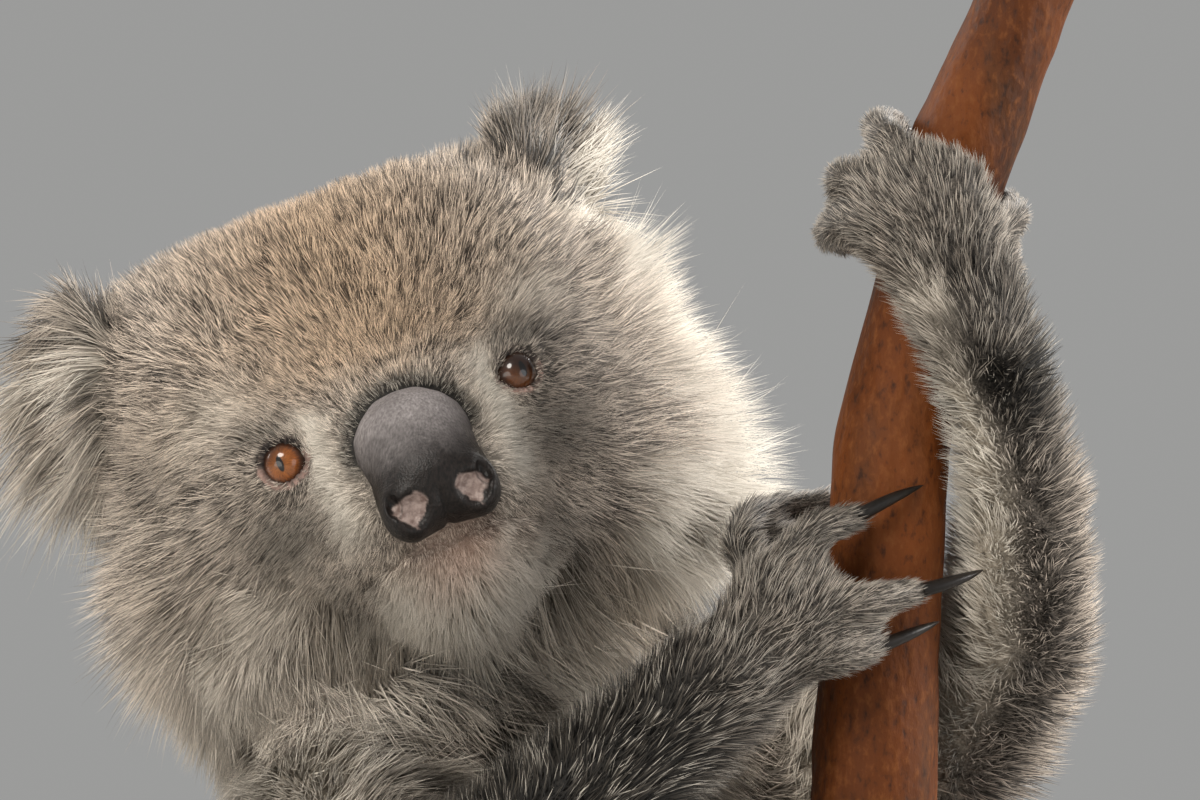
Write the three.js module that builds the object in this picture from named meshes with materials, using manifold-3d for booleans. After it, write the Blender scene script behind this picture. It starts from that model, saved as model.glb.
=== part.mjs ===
// A life-size still model of a koala clinging to a cut length of branch, on a plain display stand.
// Millimetres, +Z up. The animal looks towards -Y. The origin is the centre of the stand's underside.
// The solids are the outline of the coat, out to its tips. Left and right are the animal's own.
import * as THREE from "three";
import { mergeVertices } from "three/addons/utils/BufferGeometryUtils.js";
import Module from "manifold-3d";

const wasm = await Module();
wasm.setup();

// Driving dimensions.
const gap = 0.3; // clear space between neighbouring pieces
const eyeSpan = 69.4; // between the centres of the eyes
const eyeRadius = 7.2;
const eyeForward = 55; // the eyes' centres, forward of the middle of the head
const baseRadius = 185;
const baseThickness = 16;
const rodRadius = 7;
const fingerRadius = 7.2;
const foreClawLength = 19;
const hindClawLength = 15;
const clawRadius = 3;

const V = (x, y, z) => new THREE.Vector3(x, y, z);
const toRadians = THREE.MathUtils.degToRad;

// Every point of the animal and its branch is measured from a point in front of the left shoulder.
const pose = V(-15, -35, 565);
const at = (x, y, z) => V(x, y, z).add(pose);

// ---- Shapes -------------------------------------------------------------------------------------

// The value at u, from 0 to 1, of a smooth line through evenly spaced values.
function through(values, u) {
  if (values.length === 1) return values[0];
  const place = THREE.MathUtils.clamp(u, 0, 1) * (values.length - 1);
  const i = Math.min(Math.floor(place), values.length - 2);
  const t = place - i;
  const near = [i - 1, i, i + 1, i + 2].map((k) => THREE.MathUtils.clamp(k, 0, values.length - 1));
  const [a, b, c, d] = near.map((k) => values[k]);
  return b + 0.5 * t * (c - a + t * (2 * a - 5 * b + 4 * c - d + t * (3 * (b - c) + d - a)));
}

// A closed form along a smooth line, with an oval section and round ends. flat is depth over width,
// side is the way that the width runs, and grow enlarges the form all round.
function tube(points, radii, options = {}) {
  const { flat = [1], side = V(1, 0, 0), sides = 8, rings = 4, capRings = 2, grow = 0 } = options;
  const curve = new THREE.CatmullRomCurve3(points, false, "centripetal");
  const places = [];
  const capStep = Math.PI / 2 / capRings;
  const across = side.clone();
  const ring = (u, shift, share) => {
    const tangent = curve.getTangentAt(u);
    across.addScaledVector(tangent, -across.dot(tangent)).normalize();
    const deep = tangent.clone().cross(across);
    const width = through(radii, u) + grow;
    const depth = through(radii, u) * through(flat, u) + grow;
    const middle = curve.getPointAt(u).addScaledVector(tangent, shift * Math.min(width, depth));
    for (let k = 0; k < sides; k++) {
      const angle = (2 * Math.PI * k) / sides;
      places.push(
        middle
          .clone()
          .addScaledVector(across, Math.cos(angle) * width * share)
          .addScaledVector(deep, Math.sin(angle) * depth * share),
      );
    }
    return middle;
  };
  for (let j = 1; j < capRings; j++) ring(0, -Math.cos(j * capStep), Math.sin(j * capStep));
  for (let j = 0; j <= rings; j++) ring(j / rings, 0, 1);
  for (let j = capRings - 1; j > 0; j--) ring(1, Math.cos(j * capStep), Math.sin(j * capStep));
  const rows = places.length / sides;
  const pole = (u, sign) => {
    const reach = Math.min(through(radii, u), through(radii, u) * through(flat, u)) + grow;
    places.push(curve.getPointAt(u).addScaledVector(curve.getTangentAt(u), sign * reach));
    return places.length - 1;
  };
  const [first, last] = [pole(0, -1), pole(1, 1)];
  const faces = [];
  for (let k = 0; k < sides; k++) {
    const next = (k + 1) % sides;
    faces.push(first, next, k);
    for (let j = 0; j + 1 < rows; j++) {
      const [a, b] = [j * sides, (j + 1) * sides];
      faces.push(a + k, a + next, b + next, a + k, b + next, b + k);
    }
    faces.push(last, (rows - 1) * sides + k, (rows - 1) * sides + next);
  }
  const made = new THREE.BufferGeometry().setFromPoints(places);
  made.setIndex(faces);
  return made;
}

// Roughly the distance from a point to an ellipsoid, negative inside.
function ovalDistance(p, centre, radii) {
  const q = p.clone().sub(centre);
  const near = q.clone().divide(radii).length();
  const steep = q.clone().divide(radii).divide(radii).length();
  return steep > 0 ? (near * (near - 1)) / steep : -Math.min(radii.x, radii.y, radii.z);
}

// Ovals melted together: each is [centre, radii], and melt is how far the joins reach.
function lump(ovals, melt) {
  return (p) =>
    ovals
      .map(([centre, radii]) => ovalDistance(p, centre, radii))
      .reduce((a, b) => Math.min(a, b) - Math.max(melt - Math.abs(a - b), 0) ** 2 / (4 * melt));
}

// A closed form found by going inwards to a field's surface along rays from one centre.
function wrapped(field, centre, { detail = 6, reach = 150, grow = 0 } = {}) {
  const ball = new THREE.IcosahedronGeometry(1, detail);
  ball.deleteAttribute("normal");
  ball.deleteAttribute("uv");
  const made = mergeVertices(ball, 1e-4);
  const place = made.getAttribute("position");
  for (let i = 0; i < place.count; i++) {
    const way = new THREE.Vector3().fromBufferAttribute(place, i).normalize();
    const point = (distance) => centre.clone().addScaledVector(way, distance);
    const inside = (distance) => field(point(distance)) - grow < 0;
    let [near, far] = [reach, reach];
    while (near > 0 && !inside(near)) [near, far] = [near - 3, near];
    for (let step = 0; step < 14; step++) {
      const middle = (near + far) / 2;
      if (inside(middle)) near = middle;
      else far = middle;
    }
    const { x, y, z } = point(near);
    place.setXYZ(i, x, y, z);
  }
  return made;
}

// ---- The branch ---------------------------------------------------------------------------------

// The branch's centre line: nearly upright, then leaning to the animal's left above the upper hand.
const branchLine = new THREE.CatmullRomCurve3(
  [
    at(66, -40, -505),
    at(72, -40, -300),
    at(80, -40, -90),
    at(87, -40, 16),
    at(107, -40, 82),
    at(133, -38, 140),
  ],
  false,
  "centripetal",
);
const branchRadii = [22, 21, 20, 18.5, 16.5, 14];

// The branch's centre and radius at a height above the pose's point.
function branchAt(height) {
  let [low, high] = [0, 1];
  for (let step = 0; step < 24; step++) {
    const middle = (low + high) / 2;
    if (branchLine.getPointAt(middle).z < height + pose.z) low = middle;
    else high = middle;
  }
  return { centre: branchLine.getPointAt(low), radius: through(branchRadii, low) };
}

// A point beside the branch: angle goes from the animal's left round its back, and off is the
// distance from the bark.
function beside(height, angle, off) {
  const { centre, radius } = branchAt(height);
  const turn = toRadians(angle);
  return centre.add(V(Math.cos(turn), Math.sin(turn), 0).multiplyScalar(radius + off));
}

// A cut length of branch: flat sawn ends and a slightly uneven round section.
function branch(grow) {
  const sides = 14;
  const rings = 8;
  const places = [];
  for (let j = 0; j <= rings; j++) {
    const u = j / rings;
    const centre = branchLine.getPointAt(u);
    const along = branchLine.getTangentAt(u);
    const across = V(1, 0, 0).addScaledVector(along, -along.x).normalize();
    const deep = along.clone().cross(across);
    for (let k = 0; k < sides; k++) {
      const angle = (2 * Math.PI * k) / sides;
      const radius = through(branchRadii, u) * (1 + 0.03 * Math.sin(2 * angle + 5 * u)) + grow;
      places.push(
        centre
          .clone()
          .addScaledVector(across, Math.cos(angle) * radius)
          .addScaledVector(deep, Math.sin(angle) * radius),
      );
    }
  }
  const low = places.push(branchLine.getPointAt(0)) - 1;
  const high = places.push(branchLine.getPointAt(1)) - 1;
  const faces = [];
  for (let k = 0; k < sides; k++) {
    const next = (k + 1) % sides;
    faces.push(low, next, k, high, rings * sides + k, rings * sides + next);
    for (let j = 0; j < rings; j++) {
      const [a, b] = [j * sides, (j + 1) * sides];
      faces.push(a + k, a + next, b + next, a + k, b + next, b + k);
    }
  }
  const made = new THREE.BufferGeometry().setFromPoints(places);
  made.setIndex(faces);
  return made;
}

// ---- The stand ----------------------------------------------------------------------------------

function standBase() {
  const edge = 3;
  const profile = [
    [0, 0],
    [baseRadius - edge, 0],
    [baseRadius, edge],
    [baseRadius, baseThickness - edge],
    [baseRadius - edge, baseThickness],
    [0, baseThickness],
  ];
  const disc = new THREE.LatheGeometry(
    profile.map(([x, y]) => new THREE.Vector2(x, y)),
    24,
  );
  return disc.rotateX(Math.PI / 2);
}

// An upright rod from the base's top to a height, under a point.
function standRod(foot, top) {
  return (grow) => {
    const low = baseThickness + gap;
    const rod = new THREE.CylinderGeometry(rodRadius + grow, rodRadius + grow, top - low + grow, 12);
    return rod.rotateX(Math.PI / 2).translate(foot.x, foot.y, (top + grow + low) / 2);
  };
}

// ---- The head -----------------------------------------------------------------------------------

// The head is modelled in a frame of its own: x to its left, y backwards, z up from the eye line.
const headPlace = at(-62.7, 0, -9.1);
const headYaw = toRadians(6);
const headPitch = toRadians(4);
const headRoll = toRadians(21.4);
const headFrame = new THREE.Matrix4()
  .makeTranslation(headPlace)
  .multiply(new THREE.Matrix4().makeRotationZ(headYaw))
  .multiply(new THREE.Matrix4().makeRotationX(-headPitch))
  .multiply(new THREE.Matrix4().makeRotationY(-headRoll));
const inHead = (geometry) => geometry.applyMatrix4(headFrame);
const bothSides = (ovals) => ovals.flatMap(([c, r]) => [-1, 1].map((s) => [V(s * c.x, c.y, c.z), r]));

const skull = lump(
  [
    ...bothSides([
      [V(35, 10, 21), V(46, 62, 54)], // the broad flat crown
      [V(60, 6, -24), V(36, 42, 40)], // cheek ruffs
      [V(26, -32, -2), V(32, 33, 34)], // the face round each eye
      [V(15, -54, -27), V(16, 24, 23)], // the muzzle's sides
      [V(46, 12, -48), V(38, 40, 32)], // the ruff under the cheeks
    ]),
    [V(68, 10, -6), V(33, 36, 44)], // the left ruff, fluffed out by the raised arm
    [V(-60, 14, -60), V(33, 36, 30)], // the right ruff, over the shoulder
    [V(0, 8, 23), V(52, 60, 51)],
    [V(0, -28, 14), V(36, 36, 36)], // forehead
    [V(0, -50, -51), V(22, 25, 18)], // chin
    [V(0, 4, -40), V(50, 56, 38)], // throat
  ],
  14,
);
const head = (grow) => inHead(wrapped(skull, V(0, 0, -6), { detail: 4, grow }));

const noseForm = lump(
  [
    [V(0, -64, -8), V(17.5, 15, 16)],
    [V(0, -72, -19), V(16.5, 15, 14)],
    [V(-8.5, -75, -26), V(8.5, 11, 9)],
    [V(8.5, -75, -26), V(8.5, 11, 9)],
  ],
  5,
);
const nose = (grow) => inHead(wrapped(noseForm, V(0, -68, -17), { detail: 3, reach: 45, grow }));

const eye = (side) => (grow) => {
  const ball = new THREE.IcosahedronGeometry(eyeRadius + grow, 1);
  return inHead(ball.translate((side * eyeSpan) / 2, -eyeForward, 0));
};

// The hollow in the coat in front of an eye.
const socket = (side) => {
  const hollow = new THREE.IcosahedronGeometry(1, 1).scale(9, 7, 7);
  return inHead(hollow.translate((side * eyeSpan) / 2, -eyeForward - 7, 0));
};

// An ear: a round furred flap swept back from the side of the head, with a loose fringe below.
const ear = (side) => (grow) => {
  const sweep = toRadians(52);
  const out = V(side * Math.cos(sweep), Math.sin(sweep), 0.12).normalize();
  const root = V(side * 60, 10, 42);
  const outward = (distance, z) => root.clone().addScaledVector(out, distance).add(V(0, 0, z));
  const turn = new THREE.Matrix4().makeBasis(out, V(-out.y, out.x, 0).normalize(), V(0, 0, 1));
  const back = turn.clone().invert();
  const local = (p) => p.clone().sub(root).applyMatrix4(back);
  const form = lump(
    [
      [V(34, 0, 0), V(40, 14, 38)],
      [V(48, 0, 6), V(28, 11, 28)],
      [V(44, 0, -24), V(22, 10, 27)],
      [V(4, 4, 2), V(26, 20, 33)],
    ],
    12,
  );
  return inHead(wrapped((p) => form(local(p)), outward(32, 0), { detail: 2, reach: 75, grow }));
};

// ---- Limbs --------------------------------------------------------------------------------------

const shoulder = { right: at(-73, 8, -105), left: at(44, 60, -110) };
const elbow = { right: at(-50, -70, -150), left: at(120, -16, -72) };
const wrist = { right: at(38, -68, -77), left: at(102, -66, 30) };
const hip = { right: at(-34, 42, -368), left: at(48, 102, -368) };
const knee = { right: at(-26, -56, -345), left: at(132, 42, -350) };
const ankle = { right: at(30, -74, -408), left: at(103, -24, -450) };
const upright = V(0, 0, 1);

// A stretch of limb along a line, as a shape that can be enlarged.
const stretch = (points, radii, options) => (grow) => tube(points, radii, { ...options, grow });
const straight = (a, b, radii) => stretch([a, a.clone().lerp(b, 0.5), b], radii, { rings: 2 });

const upperArm = {
  right: stretch([shoulder.right, at(-67, -34, -130), elbow.right], [46, 39, 32], { rings: 3 }),
  left: stretch([shoulder.left, at(92, 24, -110), elbow.left], [46, 38, 29], { rings: 3 }),
};
const forearm = {
  right: stretch([elbow.right, at(-6, -76, -116), wrist.right], [32, 29, 23]),
  left: stretch([elbow.left, at(118, -50, -18), wrist.left], [29, 25, 22.5]),
};
const palm = {
  right: stretch([wrist.right, at(56, -66, -58)], [20, 21], { flat: [0.8], rings: 3, side: upright }),
  left: stretch([wrist.left, at(90, -69, 58)], [22, 24], { flat: [0.78, 0.68], rings: 3 }),
};

// Each finger is a line from the palm round the branch. The first two face the other three across it.
const fingerLines = {
  right: [
    [at(46, -58, -66), at(42, -42, -54), beside(-49, 150, 8), beside(-47, 118, 8)],
    [at(46, -62, -54), at(39, -50, -39), at(48, -31, -33), beside(-29, 128, 8)],
    [at(50, -68, -48), at(59, -70, -38), beside(-33, 250, 8)],
    [at(55, -71, -64), at(71, -73, -58), beside(-55, 278, 9), beside(-54, 292, 8)],
    [at(53, -70, -77), at(67, -73, -73), beside(-70, 266, 8.5)],
  ],
  left: [
    [at(106, -66, 32), at(116, -52, 35), beside(40, 10, 6.5), beside(42, 50, 7)],
    [at(106, -66, 48), at(116, -50, 51), beside(56, 20, 6.5), beside(58, 65, 7)],
    [at(90, -72, 68), at(79, -62, 77), beside(78, 190, 9), beside(78, 145, 8)],
    [at(78, -70, 60), at(65, -58, 64), beside(63, 186, 11), beside(61, 135, 8)],
    [at(76, -68, 48), at(65, -54, 49), beside(47, 180, 11), beside(45, 132, 8)],
  ],
};
const fingerRadii = [1, 1.08, 0.86].map((share) => share * fingerRadius);
const finger = (line) => stretch(line, fingerRadii, { sides: 6, side: upright });

// A claw grows on from a digit's last stretch, hooked towards the branch. lift turns its tip upwards.
function claw(line, length, lift) {
  const tip = line.at(-1);
  const along = tip.clone().sub(line.at(-2)).normalize();
  const { centre } = branchAt(tip.z - pose.z);
  const inwards = centre.sub(tip).setZ(0).normalize();
  const point = (reach, hook) =>
    tip
      .clone()
      .addScaledVector(along, reach)
      .addScaledVector(inwards, hook)
      .add(V(0, 0, lift * reach * 0.3));
  const start = fingerRadius * 0.35;
  const spine = [point(start, -1.6), point(start + length * 0.45, -2), point(start + length * 0.95, 1)];
  const radii = [clawRadius, clawRadius * 0.9, 0.5];
  return stretch(spine, radii, { sides: 5, rings: 2, capRings: 1, side: upright });
}

const thighRadii = [62, 54, 38];
const thigh = {
  right: straight(hip.right, knee.right, thighRadii),
  left: straight(hip.left, knee.left, thighRadii),
};
const shankRadii = [37, 32, 24];
const shank = {
  right: straight(knee.right, ankle.right, shankRadii),
  left: straight(knee.left, ankle.left, shankRadii),
};
const footRadii = [20, 20, 19];
const footForm = { flat: [0.8], rings: 2, side: upright };
const foot = {
  right: stretch([ankle.right, at(41, -77, -415), at(53, -75, -418)], footRadii, footForm),
  left: stretch([ankle.left, at(102, -38, -464), at(98, -50, -470)], footRadii, footForm),
};

// Toes: an opposed clawless first toe, then the joined second and third, the fourth and the fifth.
const toeLines = {
  right: [
    [at(38, -66, -428), at(36, -48, -432), beside(-432, 165, 9), beside(-432, 135, 9)],
    [at(52, -74, -405), at(66, -74, -398), beside(-397, 285, 9)],
    [at(56, -76, -419), at(71, -76, -416), beside(-415, 296, 9)],
    [at(52, -74, -432), at(67, -74, -433), beside(-433, 284, 9)],
  ],
  left: [
    [at(106, -26, -478), at(104, -10, -482), beside(-482, 70, 9), beside(-482, 100, 9)],
    [at(97, -54, -458), at(86, -68, -452), beside(-453, 264, 9)],
    [at(95, -54, -470), at(84, -70, -470), beside(-471, 252, 9)],
    [at(97, -52, -482), at(86, -67, -486), beside(-488, 266, 9)],
  ],
};
const toe = (line) => stretch(line, [8.6, 9, 7.6], { sides: 6, rings: 3, side: upright });

// ---- Trunk and neck -----------------------------------------------------------------------------

// The trunk's broad way runs from shoulder to shoulder, and it faces the branch.
const torsoSide = V(0.82, 0.57, 0);
const torso = stretch(
  [at(-26, 40, -120), at(-14, 52, -178), at(0, 66, -262), at(8, 73, -345), at(8, 71, -396)],
  [84, 99, 111, 117, 98],
  { flat: [0.92, 0.9, 0.9, 0.9, 0.9], side: torsoSide, sides: 14, rings: 5 },
);
const neck = stretch(
  [at(-52, 24, -62), at(-44, 28, -84), at(-30, 36, -112)],
  [62, 72, 83],
  { side: torsoSide, sides: 10, rings: 2 },
);

// ---- Assembly -----------------------------------------------------------------------------------

function finish(colour, roughness, metalness = 0) {
  return new THREE.MeshStandardMaterial({ color: colour, roughness, metalness });
}

const coat = {
  grey: finish(0x837b74, 0.95),
  dark: finish(0x55504b, 0.95),
  pale: finish(0xc9c0b4, 0.95),
};
const finishes = {
  eye: finish(0x6b3414, 0.1),
  nose: finish(0x3b3739, 0.55),
  claw: finish(0x1d1a19, 0.4),
  bark: finish(0x7a3f22, 0.85),
  base: finish(0x2b2826, 0.5),
  rod: finish(0x3a3a3c, 0.35, 0.8),
};

function solidOf(geometry) {
  const bare = geometry.clone();
  bare.deleteAttribute("normal");
  bare.deleteAttribute("uv");
  const merged = mergeVertices(bare, 1e-3);
  return new wasm.Manifold(
    new wasm.Mesh({
      numProp: 3,
      vertProperties: merged.getAttribute("position").array,
      triVerts: new Uint32Array(merged.index.array),
    }),
  );
}

function geometryOf(solid) {
  const mesh = solid.getMesh();
  const made = new THREE.BufferGeometry();
  made.setAttribute("position", new THREE.BufferAttribute(new Float32Array(mesh.vertProperties), 3));
  made.setIndex(new THREE.BufferAttribute(new Uint32Array(mesh.triVerts), 1));
  made.computeVertexNormals();
  return made;
}

const model = new THREE.Group();
const placed = [];

// Adds a piece, cut back from every piece placed before it and by hollows of its own.
// shape(grow) makes its form, enlarged all round by grow.
function place(name, shape, material, hollows = []) {
  let solid = hollows.reduce((rest, hollow) => rest.subtract(solidOf(hollow)), solidOf(shape(0)));
  const box = new THREE.Box3().setFromBufferAttribute(shape(1).getAttribute("position"));
  for (const other of placed) {
    if (other.box.intersectsBox(box)) solid = solid.subtract(other.grown);
  }
  const largest = solid.decompose().sort((a, b) => b.volume() - a.volume())[0];
  const mesh = new THREE.Mesh(geometryOf(largest), material);
  mesh.name = name;
  model.add(mesh);
  placed.push({ box, grown: solidOf(shape(gap)) });
}

const branchFoot = branchLine.getPointAt(0);
const rumpRodFoot = at(8, 72, 0);
const rumpRodTop = pose.z - 444; // inside the rump
const sides = { right: -1, left: 1 }; // which way each side lies along x
const clawLift = { right: 0.4, left: 0 }; // of the three outer claws of each hand
const names = Object.keys(sides);

place("branch", branch, finishes.bark);
place("stand_base", standBase, finishes.base);
place("stand_rod_branch", standRod(branchFoot, branchFoot.z - gap), finishes.rod);
place("stand_rod_rump", standRod(rumpRodFoot, rumpRodTop), finishes.rod);
for (const side of names) place(`eye_${side}`, eye(sides[side]), finishes.eye);
place("nose", nose, finishes.nose);
for (const side of names) {
  fingerLines[side].forEach((line, i) => {
    const lift = i > 1 ? clawLift[side] : 0;
    place(`claw_hand_${side}_${i + 1}`, claw(line, foreClawLength, lift), finishes.claw);
  });
  toeLines[side].slice(1).forEach((line, i) => {
    place(`claw_foot_${side}_${i + 2}`, claw(line, hindClawLength, 0), finishes.claw);
  });
}
for (const side of names) {
  place(`palm_${side}`, palm[side], coat.dark);
  place(`foot_${side}`, foot[side], coat.dark);
  fingerLines[side].forEach((line, i) => place(`finger_${side}_${i + 1}`, finger(line), coat.dark));
  toeLines[side].forEach((line, i) => place(`toe_${side}_${i + 1}`, toe(line), coat.dark));
  place(`forearm_${side}`, forearm[side], coat.dark);
  place(`upper_arm_${side}`, upperArm[side], coat.dark);
  place(`shank_${side}`, shank[side], coat.grey);
  place(`thigh_${side}`, thigh[side], coat.grey);
}
place("neck", neck, coat.pale);
place("torso", torso, coat.grey);
place("head", head, coat.grey, [socket(-1), socket(1)]);
for (const side of names) place(`ear_${side}`, ear(sides[side]), coat.pale);

export default model;
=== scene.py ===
import math

import bmesh
import bpy
import numpy as np
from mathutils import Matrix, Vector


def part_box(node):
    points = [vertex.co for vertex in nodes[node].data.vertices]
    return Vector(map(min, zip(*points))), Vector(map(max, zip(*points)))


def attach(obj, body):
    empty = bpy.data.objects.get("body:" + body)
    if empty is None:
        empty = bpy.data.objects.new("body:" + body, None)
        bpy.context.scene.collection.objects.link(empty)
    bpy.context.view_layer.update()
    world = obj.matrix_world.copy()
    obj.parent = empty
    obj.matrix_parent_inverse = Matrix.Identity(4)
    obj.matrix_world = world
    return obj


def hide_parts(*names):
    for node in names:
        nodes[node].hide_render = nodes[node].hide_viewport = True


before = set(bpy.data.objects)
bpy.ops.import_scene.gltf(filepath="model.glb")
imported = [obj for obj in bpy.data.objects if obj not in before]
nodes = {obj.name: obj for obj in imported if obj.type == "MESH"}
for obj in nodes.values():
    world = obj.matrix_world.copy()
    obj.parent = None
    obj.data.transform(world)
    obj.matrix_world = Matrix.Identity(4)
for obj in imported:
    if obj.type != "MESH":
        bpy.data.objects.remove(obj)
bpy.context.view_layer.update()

import openvdb as vdb
from mathutils.kdtree import KDTree

mm = 0.001
sides = {"right": -1.0, "left": 1.0}  # the animal's own


# numbers and directions


def ease(low, high, value):  # 0 at low, 1 at high, smooth between
    t = np.clip((value - low) / (high - low), 0, 1)
    return t * t * (3 - 2 * t)


def blob(value, centre, width):  # 1 at the centre, fading over the width
    return np.exp(-(((value - centre) / width) ** 2))


def spot(x, z, place):  # the same in two directions; place is centre x, centre z, width and height
    return blob(x, place[0], place[2]) * blob(z, place[1], place[3])


def mix(a, b, t):
    return a + (b - a) * t


def column(values):
    return np.asarray(values)[:, None]


def unit(vectors):
    return vectors / np.maximum(np.linalg.norm(vectors, axis=-1, keepdims=True), 1e-9)


def rowDot(a, b):
    return np.einsum("ij,ij->i", a, b)


def turnAbout(axis, degrees):
    a, b = {"x": (1, 2), "y": (2, 0), "z": (0, 1)}[axis]
    turn = np.eye(3)
    c, s = math.cos(math.radians(degrees)), math.sin(math.radians(degrees))
    turn[a, a], turn[a, b], turn[b, a], turn[b, b] = c, -s, s, c
    return turn


def ringOf(count):  # angles once round
    return np.arange(count) * 2 * math.pi / count


def softLeast(a, b, melt):  # the lesser of two fields, with a round fillet
    h = np.clip(0.5 + 0.5 * (b - a) / melt, 0, 1)
    return b + (a - b) * h - melt * h * (1 - h)


def softMost(a, b, melt):
    return -softLeast(-a, -b, melt)


def cellCorners(t):  # the weight of each corner of a unit cell at the places t
    for corner in np.ndindex(2, 2, 2):
        yield corner, np.prod(np.where(corner, t, 1 - t), axis=1)


def within(places, box):  # which places are inside a box, given as the low and high of each axis
    return np.all([(low < v) & (v < high) for v, (low, high) in zip(places.T, box)], axis=0)


def treeOf(places):
    tree = KDTree(len(places))
    for i, place in enumerate(places):
        tree.insert(place, i)
    tree.balance()
    return tree


class Ripple:  # smooth random numbers, one set for each channel, that vary over a given distance
    def __init__(self, size, seed, channels=1):
        self.size = size
        self.lattice = np.random.default_rng(seed).normal(size=(32, 32, 32, channels))

    def at(self, points):
        cell = np.floor(points / self.size).astype(int)
        total = 0
        for corner, weight in cellCorners(ease(0, 1, points / self.size - cell)):
            i, j, k = ((cell + corner) % len(self.lattice)).T
            total = total + self.lattice[i, j, k] * column(weight)
        return total


class Field:  # distances on a regular lattice, read back anywhere inside it
    def __init__(self, values, low, step):
        self.values, self.low, self.step = values, np.asarray(low), step

    def places(self):
        axes = [(np.arange(n) + l) * self.step for n, l in zip(self.values.shape, self.low)]
        return np.stack(np.meshgrid(*axes, indexing="ij"), -1).reshape(-1, 3)

    def at(self, points):
        p = np.clip(points / self.step - self.low, 0, np.array(self.values.shape) - 1.001)
        cell = p.astype(int)
        total = 0
        for corner, weight in cellCorners(p - cell):
            i, j, k = (cell + corner).T
            total = total + self.values[i, j, k] * weight
        return total

    def softened(self, rounds):
        values = self.values
        for _ in range(rounds):
            for axis in range(3):
                n = values.shape[axis]
                padded = np.concatenate([values.take([0], axis), values, values.take([-1], axis)], axis)
                ends = padded.take(range(n), axis) + padded.take(range(2, n + 2), axis)
                values = ends * 0.25 + values * 0.5
        return Field(values, self.low, self.step)

    def window(self, low, high):  # a part of the field, and where it is in the whole
        low = np.maximum(np.floor(low / self.step).astype(int) - self.low, 0)
        high = np.minimum(np.ceil(high / self.step).astype(int) - self.low, self.values.shape)
        place = tuple(slice(a, b) for a, b in zip(low, high))
        return Field(self.values[place], self.low + low, self.step), place

    def surface(self, level=0.0):
        grid = vdb.FloatGrid(float(self.values.max()))
        grid.transform = vdb.createLinearTransform(voxelSize=self.step)
        grid.copyFromArray(np.ascontiguousarray(self.values, np.float32), ijk=tuple(map(int, self.low)))
        points, quads = grid.convertToQuads(level)
        return points.astype(float), quads


# solids of the frame, as triangles and as fields


def trianglesOf(names):
    points, triangles, count = [], [], 0
    for name in names:
        mesh = nodes[name].data
        mesh.calc_loop_triangles()
        points.append(readAll(mesh.vertices, "co", 3, np.float32))
        triangles.append(readAll(mesh.loop_triangles, "vertices", 3, np.int32) + count)
        count += len(points[-1])
    return np.concatenate(points), np.concatenate(triangles)


def readAll(items, key, width, kind):  # one property of all the items of a mesh, in rows
    values = np.empty(len(items) * width, kind)
    items.foreach_get(key, values)
    return values.reshape(-1, width)


def levelSet(points, step, cells, **faces):  # distances from a closed mesh, so many cells deep
    spacing = vdb.createLinearTransform(voxelSize=step)
    return vdb.FloatGrid.createLevelSetFromPolygons(points, transform=spacing, halfWidth=cells, **faces)


def fieldOf(points, step, reach, **faces):
    grid = levelSet(points, step, reach / step, **faces)
    low, high = grid.evalActiveVoxelBoundingBox()
    values = np.empty([b - a + 1 for a, b in zip(low, high)], np.float32)
    grid.copyToArray(values, ijk=low)
    return Field(values, low, step)


def largestPart(points, quads):  # drops the small closed shells left inside
    label = np.arange(len(points))
    ends = np.concatenate([quads[:, [0, 1]], quads[:, [1, 2]], quads[:, [2, 3]]])
    while True:
        least = np.minimum(label[ends[:, 0]], label[ends[:, 1]])
        new = label.copy()
        for target in (label[ends[:, 0]], label[ends[:, 1]], ends[:, 0], ends[:, 1]):
            np.minimum.at(new, target, least)
        new = new[new]
        if (new == label).all():
            break
        label = new
    found, counts = np.unique(label, return_counts=True)
    return quads[label[quads[:, 0]] == found[counts.argmax()]]


# where the head is, from the eyes

head = {
    "turns": (("z", 6.0), ("x", -4.0), ("y", -21.4)),  # degrees, outermost first
    "eyesForward": 0.055,  # from the head's own origin to the line of the eyes
}


def middle(name):
    low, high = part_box(name)
    return (np.array(low) + np.array(high)) / 2


headTurn = np.eye(3)
for axis, degrees in head["turns"]:
    headTurn = headTurn @ turnAbout(axis, degrees)
eyePlaces = {side: middle("eye_" + side) for side in sides}
headPlace = sum(eyePlaces.values()) / 2 + headTurn @ np.array([0, head["eyesForward"], 0])


def toHead(points):  # millimetres: across to the animal's left, backwards, and up from the eyes
    return (points - headPlace) @ headTurn / mm


# camera, floor and light

studio = {
    "lens": 235.0,
    "distance": 2.2,  # from the face to the camera
    "aim": (-0.015, 0.565),  # across and up
    "lit": (0, 0, 0.5),  # what the lights point at
    "lights": {  # place, size, power and colour
        "key": ((-1.3, -2.0, 2.3), 1.3, 57, (1, 0.95, 0.88)),
        "fill": ((2.2, -2.2, 0.7), 1.8, 12, (0.95, 0.97, 1)),
        "low": ((-1.5, -1.9, 0.15), 1.5, 13, (1, 0.97, 0.9)),
        "side": ((2.2, 0.0, 1.3), 1.0, 50, (1, 0.97, 0.93)),
        "rim": ((0.9, 1.9, 2.0), 1.0, 60, (1, 0.97, 0.93)),
        "rimOther": ((-1.9, 1.2, 1.4), 1.0, 30, (1, 0.97, 0.93)),
    },
    "world": (0.66, 0.66, 0.65, 1),
    "worldStrength": 0.5,
    "floorRadius": 8.0,
    "floorSpokes": 96,
    "floor": (0.3, 0.29, 0.275, 1),
    "floorFar": (0.85, 0.84, 0.82, 1),
    "floorSpeck": (0.4, 0.39, 0.37, 1),
    "floorFade": (0.3, 3.2),  # from the near colour to the far one: darker near the middle and paler further out, painted light and shade that evens out the lamps' fall-off across the floor
}


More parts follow.
